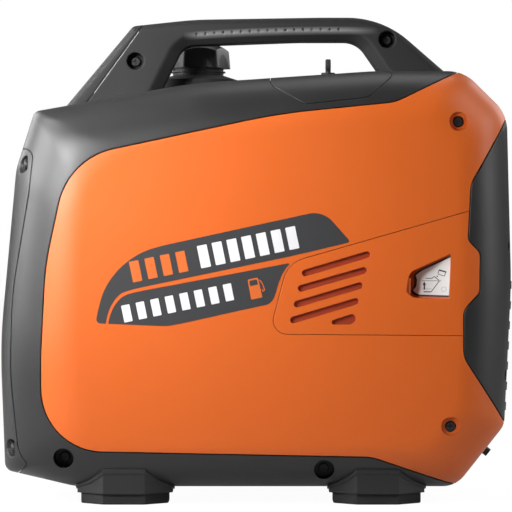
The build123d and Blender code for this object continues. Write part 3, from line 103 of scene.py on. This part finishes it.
class Finish:
    """One material, written as a few sums over its surface."""

    def __init__(self, name):
        self.material = bpy.data.materials.new(name)
        self.material.use_nodes = True
        self.tree = self.material.node_tree
        self.shader = self.tree.nodes["Principled BSDF"]
        self.place = self.node("ShaderNodeTexCoord", out="Object")

    def node(self, kind, settings=None, sockets=None, out=0):
        """A new node with its settings, then the values or links of its sockets, as the output asked for."""
        made = self.tree.nodes.new(kind)
        for key, value in (settings or {}).items():
            setattr(made, key, value)
        for key, value in (sockets or {}).items():
            self.feed(made.inputs[key], value)
        return Field(self, made.outputs[out])

    def feed(self, socket, value):
        if isinstance(value, Field):
            self.tree.links.new(value.socket, socket)
        else:
            socket.default_value = value

    def noise(self, size, detail=2.0, roughness=0.5, stretch=None):
        """Soft cloudy noise with features of that size in metres."""
        place = self.place
        if stretch:
            place = self.node("ShaderNodeMapping", sockets={"Vector": place, "Scale": stretch})
        return self.node("ShaderNodeTexNoise", sockets={
            "Vector": place, "Scale": 1 / size, "Detail": detail, "Roughness": roughness})

    def along(self, axis):
        return self.node("ShaderNodeSeparateXYZ", sockets={0: self.place}, out=axis)

    def facing(self, axis):
        geometry = self.node("ShaderNodeNewGeometry", out="Normal")
        return self.node("ShaderNodeSeparateXYZ", sockets={0: geometry}, out=axis)

    def blend(self, mask, a, b):
        """Colour a where the mask is 0, b where it is 1."""
        return self.node("ShaderNodeMix", {"data_type": "RGBA"}, {0: mask, 6: a, 7: b}, out=2)

    def set(self, name, value):
        self.feed(self.shader.inputs[name], value)

    def relief(self, height, depth, edge=None):
        """Bumps of the given depth in metres, over edges rounded in the shading by that radius."""
        sockets = {"Height": height, "Distance": depth}
        if edge:
            sockets["Normal"] = self.node("ShaderNodeBevel", {"samples": 4}, {"Radius": edge})
        self.set("Normal", self.node("ShaderNodeBump", sockets=sockets))


def tint(colour, factor):
    """The colour made lighter or darker, with its alpha."""
    return tuple(min(1.0, c * factor) for c in colour[:3]) + (1.0,)


GRAIN_DEPTH = 0.00006  # of a fully grained moulding
DUST = (0.42, 0.39, 0.35, 1.0)
DUST_HOLD = 0.35  # how far up a face has to look before dust stays on it
HEAT_STAIN = (0.2, 0.1, 0.05, 1.0)


def plastic(name, colour, roughness, grain=0.4, grain_size=0.0006, edge=0.0005, gloss=0.5, dust=0.1,
            mottle=0.06):
    """Moulded plastic: faint mottle, fine grain, handling smudges and a little dust on top faces."""
    finish = Finish(name)
    mottling = finish.noise(0.11, detail=3.0)
    smudge = finish.noise(0.035, detail=4.0, roughness=0.65)
    specks = finish.noise(0.0022)
    base = finish.blend(mottling, tint(colour, 1 - mottle), tint(colour, 1 + mottle))
    resting = (finish.facing("Z") - DUST_HOLD).clamped() * (specks * smudge * 2.2).clamped() * dust
    finish.base = finish.blend(resting.clamped(), base, DUST)
    finish.set("Base Color", finish.base)
    finish.set("Roughness", (roughness - 0.05 + smudge * 0.12 + resting * 0.4).clamped())
    finish.set("Specular IOR Level", gloss)
    finish.relief(finish.noise(grain_size), GRAIN_DEPTH * grain, edge)
    return finish


def rubber(name, colour=(0.012, 0.012, 0.0125)):
    """Dull rubber or braid, rubbed paler in patches."""
    finish = Finish(name)
    wear = finish.noise(0.012, detail=4.0, roughness=0.7)
    finish.set("Base Color", finish.blend(wear, tint(colour, 0.75), tint(colour, 1.9)))
    finish.set("Roughness", 0.72 + wear * 0.2)
    finish.relief(finish.noise(0.0009, detail=3.0), 0.00012, edge=0.0006)
    return finish


def metal(name, colour, roughness, streak=(1, 1, 1), cast=0.0, stain=0.0, metallic=1.0):
    """Bare or plated metal: brushed along one axis, or pitted where it is cast."""
    finish = Finish(name)
    brushed = finish.noise(0.0012, roughness=0.6, stretch=streak)
    patch = finish.noise(0.03, detail=4.0, roughness=0.6)
    base = finish.blend(patch, tint(colour, 0.82), tint(colour, 1.1))
    if stain:
        hot = ((finish.noise(0.05, detail=3.0) - 0.45) * 4.0).clamped() * stain
        base = finish.blend(hot, base, HEAT_STAIN)
    finish.set("Base Color", base)
    finish.set("Metallic", metallic)
    finish.set("Roughness", (roughness - 0.08 + brushed * 0.12 + patch * 0.1).clamped())
    pits = finish.noise(0.0014, detail=3.0) if cast else brushed
    finish.relief(pits, 0.00004 + cast * 0.0002, edge=0.0004)
    return finish


ORANGE = (0.63, 0.115, 0.0122)
CHARCOAL = (0.016, 0.016, 0.0163)

finishes = {
    "case_plastic": plastic("case_charcoal", CHARCOAL, 0.41, grain=0.9, grain_size=0.0009, edge=0.0018,
                            dust=0.03),
    "orange_plastic": plastic("panel_orange", ORANGE, 0.4, grain=0.25, edge=0.0008, mottle=0.03, gloss=0.42),
    "handle_plastic": plastic("handle_charcoal", (0.015, 0.015, 0.0153), 0.56, grain=1.0,
                              grain_size=0.0009, edge=0.0026, gloss=0.34, dust=0.04),
    # a darker copy of the orange: painted shade for the floors of the vent slots
    "vent_plastic": plastic("vent_shade_orange", (0.33, 0.035, 0.004), 0.5, grain=0.25),
    "cap_plastic": plastic("black_satin", (0.011, 0.011, 0.0115), 0.36, grain=0.5, edge=0.0006),
    "tank_plastic": plastic("tank_black", (0.03, 0.03, 0.031), 0.5, grain=1.0),
    "panel_plastic": plastic("panel_black", (0.022, 0.022, 0.024), 0.42, grain=0.8, edge=0.0004),
    "button_plastic": plastic("button_red", (0.5, 0.03, 0.02), 0.3, grain=0.2, edge=0.0003),
    "soft_rubber": rubber("black_rubber"),
    "screw_steel": metal("black_screws", (0.055, 0.055, 0.057), 0.42, metallic=0.7),
    "brass_fittings": metal("brass", (0.72, 0.52, 0.22), 0.3),
    "cast_aluminium": metal("cast_alloy", (0.52, 0.53, 0.55), 0.5, cast=1.0),
    "plain_steel": metal("machined_steel", (0.5, 0.5, 0.52), 0.32, streak=(1, 8, 8)),
    "muffler_steel": metal("muffler_sheet", (0.42, 0.4, 0.37), 0.45, stain=0.7),
    "winding_copper": metal("copper_winding", (0.45, 0.2, 0.09), 0.35, streak=(8, 1, 1)),
    "coil_plastic": plastic("coil_black", (0.025, 0.025, 0.027), 0.5),
    "rope_cord": rubber("braided_rope", (0.03, 0.03, 0.035)),
    "oil_cap_yellow": plastic("oil_cap_yellow", (0.8, 0.5, 0.03), 0.35, grain=0.3),
}


def lens_finish():
    """Clear green plastic over a lamp, a little cloudy."""
    finish = Finish("green_lens")
    glow = finish.noise(0.002)
    finish.set("Base Color", finish.blend(glow, (0.05, 0.42, 0.10, 1), (0.12, 0.62, 0.18, 1)))
    finish.set("Roughness", 0.15 + glow * 0.1)
    finish.set("Coat Weight", 0.5)
    return finish


finishes["lens"] = lens_finish()


def within(finish, wells, radius, depth):
    """1 inside round wells that run along Y at the given (x, z), short of the faces at that depth."""
    inside = 0
    for x, z in wells:
        dx = finish.along("X") - x * MM
        dz = finish.along("Z") - z * MM
        inside = inside + ((dx * dx + dz * dz) < (radius * MM) ** 2)
    return (inside * (abs(finish.along("Y")) < depth)).clamped()


# the screw wells low on the case are painted black inside, painted shade in the wells
# and the small stop on the rear cover's lower chamfer is black rubber
# black: the rubber stop's own colour, and painted shade in the screw wells
BLACK_STOP_AND_WELL_SHADE = (0.003, 0.003, 0.003, 1.0)
CASE_WELLS = [(-178.3, 43.6), (63.2, 33.0)]
STOP_Y = -0.06
STOP_HALF_WIDTH = 0.006
CHAMFER = (0.784, -0.621)  # the way the lower chamfer faces, in x and z
CHAMFER_FACE = 0.1386  # how far out that way its face is
shell = finishes["case_plastic"]
beyond_chamfer = (shell.along("X") * CHAMFER[0] + shell.along("Z") * CHAMFER[1]) > CHAMFER_FACE
stop = beyond_chamfer * (abs(shell.along("Y") - STOP_Y) < STOP_HALF_WIDTH)
# painted shade: black inside the case's screw wells
case_well_shade = within(shell, CASE_WELLS, radius=9.6, depth=0.1375)
shell.set("Base Color", shell.blend(stop.most(case_well_shade), shell.base, BLACK_STOP_AND_WELL_SHADE))

# a painted highlight along the grip's long ridge, and painted shade: its screw wells are painted black
RIDGE_HIGHLIGHT = (0.2, 0.2, 0.202, 1.0)
HANDLE_WELLS = [(-116.2, 418.8), (126.1, 439.5)]
CREST_X, CREST_Z = 0.080, 0.4482  # highest point of the ridge
RIDGE_RUN, RIDGE_DROP = 0.137, 0.0046  # it falls by the drop over the run
RIDGE_HALF_WIDTH = 0.0042
RIDGE_START, RIDGE_END = -0.070, 0.118
grip = finishes["handle_plastic"]
away = (CREST_X - grip.along("X")) / RIDGE_RUN
ridge = CREST_Z - away * away * RIDGE_DROP
highlight_band = (1.0 - abs(grip.along("Z") - ridge) / RIDGE_HALF_WIDTH).clamped()
fade_in = ((grip.along("X") - RIDGE_START) * 60.0).clamped()
fade_out = ((RIDGE_END - grip.along("X")) * 30.0).clamped()
# painted highlight: the ridge is lightened in the base colour
ridge_highlighted = grip.blend(highlight_band * (fade_in * fade_out), grip.base, RIDGE_HIGHLIGHT)
# painted shade: black inside the handle's screw wells
handle_well_shade = within(grip, HANDLE_WELLS, radius=8.4, depth=0.0203)
grip.set("Base Color", grip.blend(handle_well_shade, ridge_highlighted, BLACK_STOP_AND_WELL_SHADE))


def film_finish(name, colour, roughness=0.42):
    """A printed film: even ink with a faint orange-peel surface."""
    finish = Finish(name)
    ink = finish.noise(0.02, detail=3.0)
    finish.set("Base Color", finish.blend(ink, tint(colour, 0.95), tint(colour, 1.05)))
    finish.set("Roughness", roughness - 0.04 + ink * 0.08)
    finish.relief(finish.noise(0.0011), 0.00002)
    return finish


film_dark = film_finish("decal_grey", (0.034, 0.035, 0.037))
film_pale = film_finish("decal_pale", (0.74, 0.74, 0.75))
film_orange = film_finish("decal_orange", (0.62, 0.13, 0.02))
label_white = film_finish("label_white", (0.68, 0.68, 0.67), 0.5)
# black ink of the pictogram, also the painted shade round the label
ink_and_rim_shade = film_finish("ink_and_rim_shade", (0.012, 0.012, 0.012), 0.6)
# grey print on the label, also the painted highlight along the handle's end cap
grey_ink_and_highlight = film_finish("grey_ink_and_highlight", (0.34, 0.34, 0.34), 0.5)


# ------------------------------------------------------------------ pieces that keep their solid's shape
SHARP_ANGLE = math.radians(28.0)  # edges that turn by more stay sharp
MERGE = 0.000004  # corners closer than this are one


def put(name, data):
    """A new object in the scene, at the origin."""
    piece = bpy.data.objects.new(name, data)
    bpy.context.scene.collection.objects.link(piece)
    return piece


def smoothed(node):
    """A merged copy of a solid's mesh, smooth across curves and sharp at edges."""
    mesh = frame["nodes"][node].data.copy()
    mesh.materials.clear()
    bm = bmesh.new()
    bm.from_mesh(mesh)
    bmesh.ops.remove_doubles(bm, verts=bm.verts, dist=MERGE)
    bm.to_mesh(mesh)
    bm.free()
    for name in [a.name for a in mesh.attributes if a.name == "custom_normal"]:
        mesh.attributes.remove(mesh.attributes[name])
    mesh.shade_smooth()
    mesh.set_sharp_from_angle(angle=SHARP_ANGLE)
    mesh.materials.append(finishes[SLOT_OF[node]].material)
    piece = put(node + "_skin", mesh)
    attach(piece, BODY_OF[node])
    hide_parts(node)


for node in BODY_OF:
    smoothed(node)


# ------------------------------------------------------------------ printed films
LAYER = 0.00012  # thickness of a printed film, and one film over another


def outline_mesh(corners, thickness):
    """A flat plate of the outline (x, z, corner cut) in millimetres, its back at y = 0."""
    bm = bmesh.new()
    verts = [bm.verts.new((x * MM, 0, z * MM)) for x, z, _ in corners]
    bm.faces.new(verts)
    for vert, (_, _, cut) in zip(verts, corners):
        if cut:
            bmesh.ops.bevel(bm, geom=[vert], offset=cut * MM, affect="VERTICES", segments=6, profile=0.5,
                            material=-1)
    plate = bmesh.ops.extrude_face_region(bm, geom=bm.faces[:])
    bmesh.ops.translate(bm, verts=[v for v in plate["geom"] if isinstance(v, bmesh.types.BMVert)],
                        vec=(0, -thickness, 0))
    bmesh.ops.recalc_face_normals(bm, faces=bm.faces)
    return bm


def film(name, shapes, y, finish, body, thickness=LAYER, turn=0):
    """Several outlines as one printed film; y is a number, or a function of x on a sloping face.

    turn swings the film round Z, in degrees, for faces that don't look along -Y.
    """
    whole = bmesh.new()
    for corners in shapes:
        bm = outline_mesh(corners, thickness)
        part = bpy.data.meshes.new("part")
        bm.to_mesh(part)
        bm.free()
        whole.from_mesh(part)
        bpy.data.meshes.remove(part)
    for vert in whole.verts:
        vert.co.y += y(vert.co.x) if callable(y) else y
    bmesh.ops.rotate(whole, verts=whole.verts, cent=(0, 0, 0),
                     matrix=Matrix.Rotation(math.radians(turn), 3, "Z"))
    mesh = bpy.data.meshes.new(name)
    whole.to_mesh(mesh)
    whole.free()
    mesh.materials.append(finish.material)
    piece = put(name, mesh)
    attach(piece, body)


SIDE = -0.14202  # flat face of the service side
SLOPE = 0.207  # climb of the decals to the right
UPPER_STRIP = [
    (-148.4, 168.8, 5), (-144.8, 186, 8), (-140.9, 198.8, 8), (-132.9, 212.2, 8), (-121.6, 224.2, 8),
    (-105.4, 234.8, 8), (-90, 239.8, 8), (61.7, 272.9, 12), (87.6, 243.9, 3.5), (40, 232.4, 10),
    (-114.5, 200.2, 8), (-125.5, 196.4, 5), (-133, 187.6, 6), (-137.6, 176.3, 5), (-138.9, 168.4, 0.6),
]
LOWER_STRIP = [
    (-136.6, 168.4, 0.6), (-135, 176.4, 5), (-129.9, 187.4, 6), (-122.4, 194.4, 5), (-113, 197.4, 8),
    (31.8, 224.6, 2.5), (25.4, 216.8, 5), (20.8, 206.5, 6), (17.7, 194.2, 5), (13.2, 186.8, 4),
    (-73.8, 167.4, 8), (-84, 166.1, 8),
]
UPPER_ROW = 230.0  # foot of each row of bars, as its z at x = 0
LOWER_ROW = 194.6


def decal(name, shapes, layer, finish):
    """A film on the service side, that many films up."""
    film(name, shapes, SIDE - layer * LAYER, finish, "case")


def bars(row, x_from, pitch, count, width, height):
    """Upright bars of a row that climbs to the right, set square to its slope."""
    shapes = []
    for i in range(count):
        x = x_from + i * pitch
        low = row + x * SLOPE
        lean = -height * SLOPE
        shapes.append([(x, low, 0.7), (x + width, low + width * SLOPE, 0.7),
                       (x + width + lean, low + height + width * SLOPE, 0.7), (x + lean, low + height, 0.7)])
    return shapes


decal("decal_upper", [UPPER_STRIP], 0, film_dark)
decal("decal_lower", [LOWER_STRIP], 0, film_dark)
decal("decal_bars_orange", bars(UPPER_ROW, -113.5, 14.2, 4, 8.6, 19), 1, film_orange)
decal("decal_bars_pale", bars(UPPER_ROW, -50.5, 13.6, 7, 9.0, 20.5), 1, film_pale)
decal("decal_bars_lower", bars(LOWER_ROW, -121.5, 13.4, 8, 7.6, 15.5), 1, film_pale)


def turned(shape, x0, z0):
    """An outline drawn level, set at (x0, z0) and climbing with the decals."""
    size = math.hypot(1, SLOPE)
    return [(x0 + (x - z * SLOPE) / size, z0 + (x * SLOPE + z) / size, cut) for x, z, cut in shape]


def stroke(x0, z0, x1, z1, width=0.7):
    """A thin line from point to point, as an outline."""
    along = Vector((x1 - x0, z1 - z0)).normalized() * width / 2
    across = Vector((-along.y, along.x))
    return [(x0 - across.x, z0 - across.y, 0), (x1 - across.x, z1 - across.y, 0),
            (x1 + across.x, z1 + across.y, 0), (x0 + across.x, z0 + across.y, 0)]


def path(*points, width):
    """Thin lines from each point to the next."""
    return [stroke(*a, *b, width) for a, b in zip(points, points[1:])]


PUMP = (-4.4, 190.7)  # foot of the fuel pump sign
pump = [[(0, 0, 0.8), (10.6, 0, 0.8), (10.2, 18.8, 1.4), (0.4, 18.8, 1.4)]]
pump_hose = path((11, 16.4), (12.8, 13.4), (14, 6.6), (12.4, 5), (11.6, 7.4), width=0.9)
pump_window = [[(1.6, 12.4, 0.5), (8.9, 12.4, 0.5), (8.9, 17.3, 0.8), (1.6, 17.3, 0.8)]]
decal("decal_pump", [turned(shape, *PUMP) for shape in pump + pump_hose], 1, film_orange)
decal("decal_pump_window", [turned(shape, *PUMP) for shape in pump_window], 2, film_dark)


# ------------------------------------------------------------------ dark floors in the door's vent slots, painted shade
VENT_SHADE_FLOOR = -0.1377  # y of the floors' backs
VENT_SHADE_FLOOR_THICKNESS = 0.0008


def vent(x0, z0, x1, z1, radius=3.3):
    """A slot with round ends along its centre line, as an outline."""
    along = Vector((x1 - x0, z1 - z0)).normalized() * radius
    across = Vector((-along.y, along.x))
    ends = [Vector((x0, z0)) - along, Vector((x1, z1)) + along]
    cut = radius - 0.05
    return [(*(ends[0] - across), cut), (*(ends[1] - across), cut),
            (*(ends[1] + across), cut), (*(ends[0] + across), cut)]


SHORT_VENT = [(69.8, 167.4, 1.8), (88, 167.6, 4), (95.2, 173, 4), (89, 177.8, 3.5), (69.8, 171.6, 1.8)]
vents = [vent(45.6, 215.3, 102.6, 232.2), vent(41.9, 201.1, 99.4, 217.6), vent(38.1, 186.5, 95.6, 203.5),
         vent(34.8, 171.9, 91.9, 188.9), SHORT_VENT]
# painted shade: sheets of darker orange close the slots a little way in
film("vent_shade_floors", vents, VENT_SHADE_FLOOR, finishes["vent_plastic"], "door",
     thickness=VENT_SHADE_FLOOR_THICKNESS)


# ------------------------------------------------------------------ label in the door's finger grip
RAMP_START, RAMP_START_DEPTH = 0.1395, 0.124  # x where the grip's sloping floor starts, and how far out it is
RAMP_END, RAMP_END_DEPTH = 0.1805, 0.1402
LABEL_GAP = 0.0001


def ramp(x):
    """y of the label's back on the grip's sloping floor."""
    rise = (x - RAMP_START) * (RAMP_END_DEPTH - RAMP_START_DEPTH) / (RAMP_END - RAMP_START)
    return -RAMP_START_DEPTH - rise - LABEL_GAP


def label(name, shapes, layer, finish):
    """A film in the finger grip, that many films up."""
    film(name, shapes, lambda x: ramp(x) - layer * LAYER, finish, "door")


# a black film just wider than the label: painted shade of the gap round the label
label("grip_label_shade_rim", [[
    (143.2, 197.6, 3), (148.6, 193.6, 4), (179.1, 192.9, 0), (180.6, 231.6, 0), (152, 218.6, 4),
    (145.8, 213.2, 2), (147.2, 207, 2), (146.4, 202, 2)]], 0, ink_and_rim_shade)
label("grip_label", [[
    (145.4, 199.2, 1.5), (149.8, 195.3, 3), (178.4, 194.5, 0.3), (180, 229.9, 0.3), (153, 217, 4),
    (148.3, 213, 1), (149.6, 209.4, 1.5), (148.8, 202.4, 1.5)]], 1, label_white)
sump = path((157.2, 210.3), (162.8, 210.3), (165.2, 212), (169.9, 208.1), (162.3, 197.8), width=0.7)
sump_foot = path((162.3, 197.8), (155.4, 197.8), width=0.9)
arrow_head = [[(154.4, 204.2, 0), (157.8, 204.2, 0), (156.1, 207.3, 0)]]
arrow = path((156.1, 199.8), (156.1, 204.6), width=1.4) + arrow_head
can = (path((168.4, 214.3), (174.2, 212.4), (175.8, 216.2), width=0.6)
       + path((175.8, 216.2), (169.4, 218), width=1.3) + path((169.4, 218), (168.4, 214.3), width=0.6))
drip = path((167.5, 211.8), (168.2, 212.6), width=1.2)
label("grip_pictogram", sump + sump_foot + arrow + can + drip, 2, ink_and_rim_shade)
level = path((153.8, 208.1), (171.4, 208.1), width=0.9) + path((154, 200.4), (162.6, 200.4), width=0.5)
ring = path((172.2, 202.2), (175.4, 202.2), (176, 199.4), (173, 197.8), (171.6, 200), (172.2, 202.2), width=0.4)
label("grip_level", level + ring, 2, grey_ink_and_highlight)


# ------------------------------------------------------------------ print on the control panel
PANEL = -0.22202  # flat face of the control panel


def panel_print(name, shapes):
    """Outlines (right, up) in millimetres as seen by someone who faces the control panel."""
    film(name, shapes, PANEL, film_pale, "case", turn=-90)


def arc(x, z, radius, start, end, count, width=0.8):
    """Strokes end to end along an arc, its angles in degrees."""
    points = []
    for i in range(count + 1):
        angle = math.radians(start + (end - start) * i / count)
        points.append((x + radius * math.cos(angle), z + radius * math.sin(angle)))
    return path(*points, width=width)


def frame_line(x0, z0, x1, z1, cut=5.0, width=0.7):
    """A thin frame with rounded corners, from strokes."""
    sides = [stroke(x0 + cut, z0, x1 - cut, z0, width), stroke(x0 + cut, z1, x1 - cut, z1, width),
             stroke(x0, z0 + cut, x0, z1 - cut, width), stroke(x1, z0 + cut, x1, z1 - cut, width)]
    corners = ((x1 - cut, z1 - cut, 0), (x0 + cut, z1 - cut, 90),
               (x0 + cut, z0 + cut, 180), (x1 - cut, z0 + cut, 270))
    for x, z, start in corners:
        sides += arc(x, z, cut, start, start + 90, 5, width)
    return sides


DIAL = (-45, 255)  # centre of the engine dial
TICK_START, TICK_END = 24.5, 28.5  # from the dial's centre
ticks = [stroke(DIAL[0] + TICK_START * math.cos(a), DIAL[1] + TICK_START * math.sin(a),
                DIAL[0] + TICK_END * math.cos(a), DIAL[1] + TICK_END * math.sin(a), 1.4)
         for a in map(math.radians, (0, 45, 90))]
panel_print("dial_scale", ticks + arc(*DIAL, 31, -6, 96, 16))
panel_print("receptacle_frame", frame_line(-68, 136, 68, 200))
panel_print("lower_frame", frame_line(-72, 72, 80, 116))
panel_print("charge_frame", frame_line(-24, 203, 20, 228, 4) + [stroke(-20.5, 211, -20.5, 221, 1.2)])
bolt = path((26.4, 268.5), (24.6, 265.4), (27.4, 265.4), (25.6, 262.2), width=0.8)
triangle = [[(41.2, 262.6, 0), (46.8, 262.6, 0), (44, 267.8, 0)]]
panel_print("lens_signs", bolt + triangle + arc(62, 265.2, 2.6, 0, 360, 14))
panel_print("switch_signs", [stroke(31, 241.5, 31, 245.5, 1.0)] + arc(31, 232, 1.9, 0, 360, 12))
panel_print("earth_sign", [
    stroke(66, 104.5, 66, 109.5, 0.9), stroke(62.4, 104.5, 69.6, 104.5, 0.9),
    stroke(63.8, 102.9, 68.2, 102.9, 0.9), stroke(65.2, 101.3, 66.8, 101.3, 0.9)])


# ------------------------------------------------------------------ pale line along the handle's end cap, a painted highlight of its edge
HANDLE_FACE = -0.02102
edge_highlight = stroke(-155.7, 388, -112.8, 447, 0.6)
far_edge_highlight = [(-x, z, cut) for x, z, cut in reversed(edge_highlight)]
film("end_cap_highlight_service", [edge_highlight], HANDLE_FACE, grey_ink_and_highlight, "case")
film("end_cap_highlight_starter", [far_edge_highlight], HANDLE_FACE, grey_ink_and_highlight, "case", turn=180)


# ------------------------------------------------------------------ floor, light and camera
WHITE = (1, 1, 1, 1)
FLOOR_HALF = 14  # metres from the object to the floor's edge
FLOOR_DROP = 0.0002  # just under the feet
FLOOR_WHITE = 1.1  # brightness of the plain white that views of the floor get
SEEN_SHARE = 0.88  # how much of a straight view is that white; the rest keeps the shadow
MIRRORED_SHARE = 0.2  # how much of it a glossy surface shows


def seen_directly(finish):
    """The share of plain white in straight and see-through views of the floor; mirrored views get less."""
    camera, glossy, through = [finish.node("ShaderNodeLightPath", out=ray)
                               for ray in ("Is Camera Ray", "Is Glossy Ray", "Is Transmission Ray")]
    return camera.most(glossy * MIRRORED_SHARE).most(through) * SEEN_SHARE


def ground():
    """A white floor that keeps the object's soft shadow."""
    bm = bmesh.new()
    bmesh.ops.create_grid(bm, x_segments=2, y_segments=2, size=FLOOR_HALF)
    bmesh.ops.translate(bm, verts=bm.verts, vec=(0, 0, -FLOOR_DROP))
    mesh = bpy.data.meshes.new("floor")
    bm.to_mesh(mesh)
    bm.free()
    finish = Finish("floor_white")
    cloud = finish.noise(1.5)
    finish.set("Base Color", finish.blend(cloud, (0.44, 0.44, 0.44, 1), (0.48, 0.48, 0.48, 1)))
    finish.set("Roughness", 0.85)
    white = finish.node("ShaderNodeEmission", sockets={"Color": WHITE, "Strength": FLOOR_WHITE})
    surface = finish.node("ShaderNodeMixShader", sockets={
        0: seen_directly(finish), 1: Field(finish, finish.shader.outputs[0]), 2: white})
    finish.feed(finish.tree.nodes["Material Output"].inputs["Surface"], surface)
    mesh.materials.append(finish.material)
    put("floor", mesh)


def lamp(name, power, size, place, target=(0, 0, 0.22), spread=180):
    """A soft rectangular lamp at a place, turned to its target; its beam opens by the spread in degrees."""
    light = bpy.data.lights.new(name, "AREA")
    light.energy = power
    light.shape = "RECTANGLE"
    light.size, light.size_y = size
    light.spread = math.radians(spread)
    stand = put(name, light)
    stand.location = place
    stand.rotation_euler = (Vector(target) - Vector(place)).to_track_quat("-Z", "Y").to_euler()


def sky(strength):
    """Even white behind everything, and a weak even light on the object."""
    world = bpy.data.worlds.new("studio")
    bpy.context.scene.world = world
    world.use_nodes = True
    tree = world.node_tree
    tree.nodes.clear()
    mix = tree.nodes.new("ShaderNodeMixShader")
    tree.links.new(tree.nodes.new("ShaderNodeLightPath").outputs["Is Camera Ray"], mix.inputs[0])
    for socket, level in ((1, strength), (2, 1.0)):
        light = tree.nodes.new("ShaderNodeBackground")
        light.inputs["Color"].default_value = WHITE
        light.inputs["Strength"].default_value = level
        tree.links.new(light.outputs[0], mix.inputs[socket])
    tree.links.new(mix.outputs[0], tree.nodes.new("ShaderNodeOutputWorld").inputs[0])


ground()
sky(0.03)
lamp("corner front", 1.05, (0.4, 0.4), (-0.88, -0.5, 0.62), (-0.2, -0.12, 0.36), spread=70)
lamp("key", 1.7, (0.3, 0.3), (-0.62, -0.85, 0.55), (-0.2, -0.14, 0.36), spread=60)
lamp("side", 7.6, (0.35, 0.5), (-0.975, -0.2, 0.53), (-0.215, -0.1, 0.31))
lamp("left", 3.1, (0.4, 1.0), (-1.4, 0.3, 0.4))
lamp("right", 4.4, (0.5, 0.9), (1.1, -0.35, 0.6), (0.2, -0.1, 0.25))
lamp("right back", 0.8, (0.5, 1.2), (1.2, 0.1, 0.5), (0.2, 0, 0.25))
lamp("right high", 1.3, (0.9, 0.7), (0.95, -0.4, 1.1), (0.22, -0.1, 0.36), spread=120)
lamp("corner", 0.5, (0.45, 0.35), (-0.66, -0.2, 0.98), (-0.22, -0.1, 0.33), spread=50)
lamp("back left", 15, (0.9, 0.9), (-1.25, 1.15, 1.05))
lamp("back right", 7, (0.9, 0.9), (1.25, 1.15, 1.05))
lamp("top", 3.5, (0.8, 0.8), (0.2, 0.55, 1.8))

camera = put("camera", bpy.data.cameras.new("camera"))
camera.data.lens = 217.5  # fills the view with the service side from three metres away
camera.location = (0, -3.0, 0.231)
camera.rotation_euler = (math.radians(90), 0, 0)
bpy.context.scene.camera = camera
bpy.context.scene.view_settings.view_transform = "Standard"
